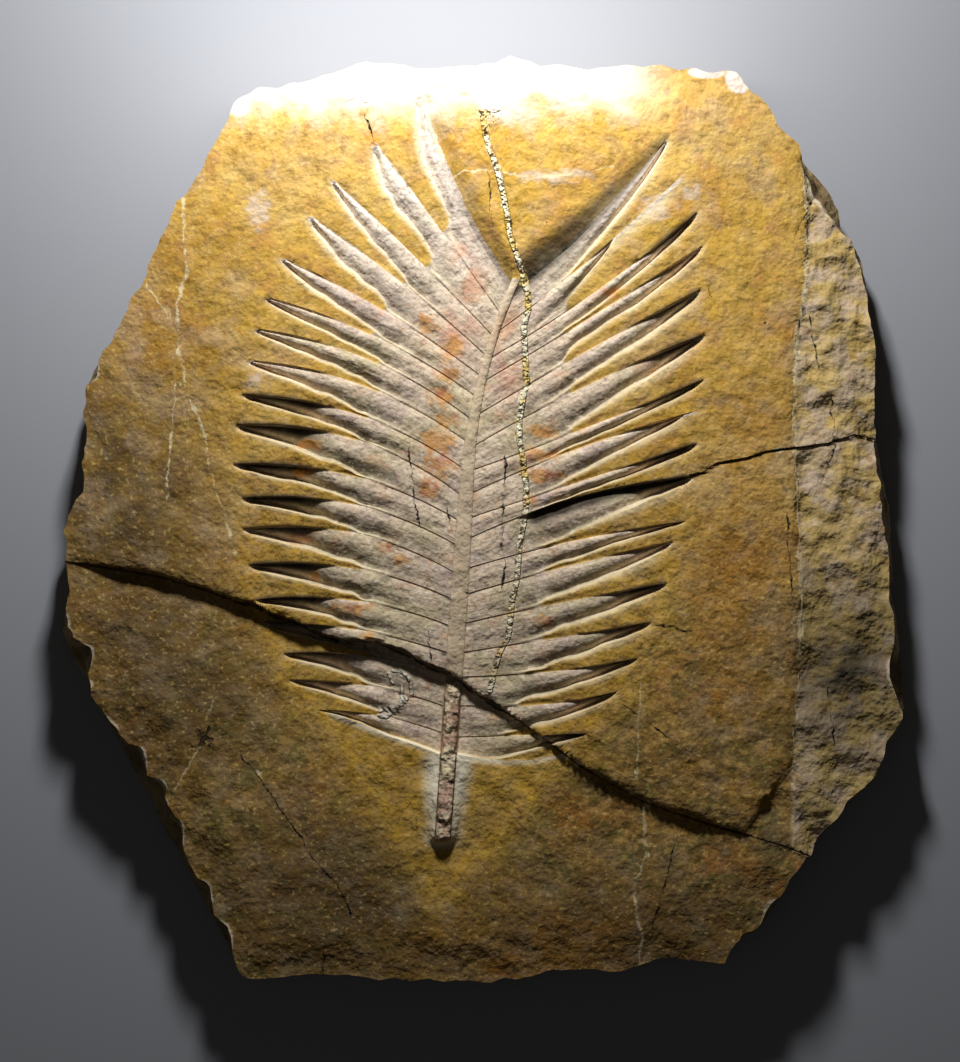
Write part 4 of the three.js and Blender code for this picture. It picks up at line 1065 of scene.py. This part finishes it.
# Dark cracks and pits, with painted shadow along the main crack's step.
dark_marks_and_crack_shadow = stroke("cracks", fine_waver, 0.3)
dark_marks_and_crack_shadow = calc("MAXIMUM", dark_marks_and_crack_shadow, rise(scaled(waver, 0.1, reading("pits")), 0.5, 0.7))
hair = times(stroke("hairs", both_wavers, 0.2), rise(speckle, 0.6, 0.48, 0.3, 1.0))
crusted = rise(calc("ADD", reading("crust"), both_wavers), 0.5, 1.1, 1.0, 0.0)
colour = coats(colour, [
    (52, 38, 24, times(dark_marks_and_crack_shadow, 0.9)),
    (26, 18, 10, hair),
    (222, 214, 196, times(crusted, 0.8)),
])
links.new(colour, surface.inputs["Base Color"])

# Fine relief: grains, knobs and soft hills of the stone, coarser on the margin, the side's
# beds, streaks in the print, open cracks, and the gritty vein, crust and stalk.
grains = mottle(place, 0.0016, 2, 0.4)
knobs = mottle(place, 0.0042, 2, 0.42)
hills = mottle(place, 0.012, 2, 0.42)
relief = times(grains, 0.4)
relief = scaled(knobs, scaled(margin, 0.5, 0.9), relief)
relief = scaled(hills, scaled(margin, 1.6, 2.0), relief)
relief = scaled(broken, times(beds, 3.0), relief)
in_print = scaled(reading("stone"), -0.35, 0.35)
relief = scaled(stripes, in_print, relief)
open_crack = calc("SUBTRACT", reading("cracks_width"), calc("ABSOLUTE", reading("cracks")))
relief = scaled(rise(open_crack, 0.0, 0.4), -1.0, relief)
vein_width = reading("calcite_width")
in_vein = calc("SUBTRACT", vein_width, calc("ABSOLUTE", reading("calcite")))
in_vein = times(rise(in_vein, -0.3, 0.3), rise(vein_width, 0.03, 0.15))
gritty = scaled(grains, -3.0, 2.3)
relief = scaled(in_vein, gritty, relief)
lumpy = scaled(knobs, 3.0, -0.6)
relief = scaled(rise(reading("crust"), 0.5, 1.1, 1.0, 0.0), lumpy, relief)
relief = scaled(reading("stalk"), times(knobs, 2.5), relief)
bump = nodes.new("ShaderNodeBump")
bump.inputs["Strength"].default_value = 1.0
bump.inputs["Distance"].default_value = 0.001
links.new(relief, bump.inputs["Height"])
links.new(bump.outputs[0], surface.inputs["Normal"])
links.new(rise(speckle, 0.3, 0.7, 0.78, 0.95), surface.inputs["Roughness"])
surface.inputs["Specular IOR Level"].default_value = 0.3
mesh.materials.append(stone)

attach(plate_object, "root")
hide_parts("slab")


# ======================================================================================
# Table and light. A plain pale table top, a soft lamp low beyond the leaf's tip that
# rakes down the face, a narrow one close over the top edge, and a weak even light from
# above and from the room.
# ======================================================================================

table = bpy.data.meshes.new("table_top")
table.from_pydata([(-3, -3, 0), (3, -3, 0), (3, 3, 0), (-3, 3, 0)], [], [(0, 1, 2, 3)])
table_object = bpy.data.objects.new("table_top", table)
bpy.context.collection.objects.link(table_object)
table_paint = bpy.data.materials.new("pale_table")
table_paint.use_nodes = True
paint = table_paint.node_tree.nodes["Principled BSDF"]
paint.inputs["Base Color"].default_value = tone(166, 168, 174)
paint.inputs["Roughness"].default_value = 0.8
table.materials.append(table_paint)


def soft_lamp(name, position, aim, width, depth, power):
    """A rectangular area lamp turned to its aim."""
    lamp = bpy.data.lights.new(name, "AREA")
    lamp.shape = "RECTANGLE"
    lamp.size = width
    lamp.size_y = depth
    lamp.energy = power
    lamp_object = bpy.data.objects.new(name, lamp)
    lamp_object.location = position
    direction = np.array(aim) - np.array(position)
    flat = math.hypot(direction[0], direction[1])
    lamp_object.rotation_euler = (
        math.atan2(flat, -direction[2]), 0, math.atan2(direction[1], direction[0]) - math.pi / 2)
    lamp_object.visible_camera = False
    bpy.context.collection.objects.link(lamp_object)


soft_lamp("key_lamp", (-0.03, 0.46, 0.29), (-0.01, 0.05, 0.03), 0.07, 0.07, 3.1)
soft_lamp("edge_lamp", (-0.03, 0.207, 0.078), (-0.03, 0.2, 0.034), 0.22, 0.015, 0.06)
soft_lamp("fill_lamp", (-0.2, -0.2, 1.3), (0, 0, 0), 1.2, 1.2, 0.2)

room = bpy.data.worlds.new("room")
room.use_nodes = True
room.node_tree.nodes["Background"].inputs["Color"].default_value = (1.0, 0.95, 0.86, 1)
room.node_tree.nodes["Background"].inputs["Strength"].default_value = 0.014
bpy.context.scene.world = room
bpy.context.scene.view_settings.view_transform = "Standard"


# ======================================================================================
# Camera. It looks straight down at the plate, whose face is a little above and to the
# right of the middle of the view.
# ======================================================================================

VIEW_HEIGHT = 0.4673      # what the view spans at the face, up the leaf
LENS, SENSOR = 65.0, 36.0
camera_data = bpy.data.cameras.new("camera")
camera_data.lens = LENS
camera_data.sensor_width = SENSOR
camera_data.dof.use_dof = False
camera = bpy.data.objects.new("camera", camera_data)
camera.location = (-0.0015, -0.0053, THICKNESS / 1000 + VIEW_HEIGHT * LENS / SENSOR)
bpy.context.collection.objects.link(camera)
bpy.context.scene.camera = camera
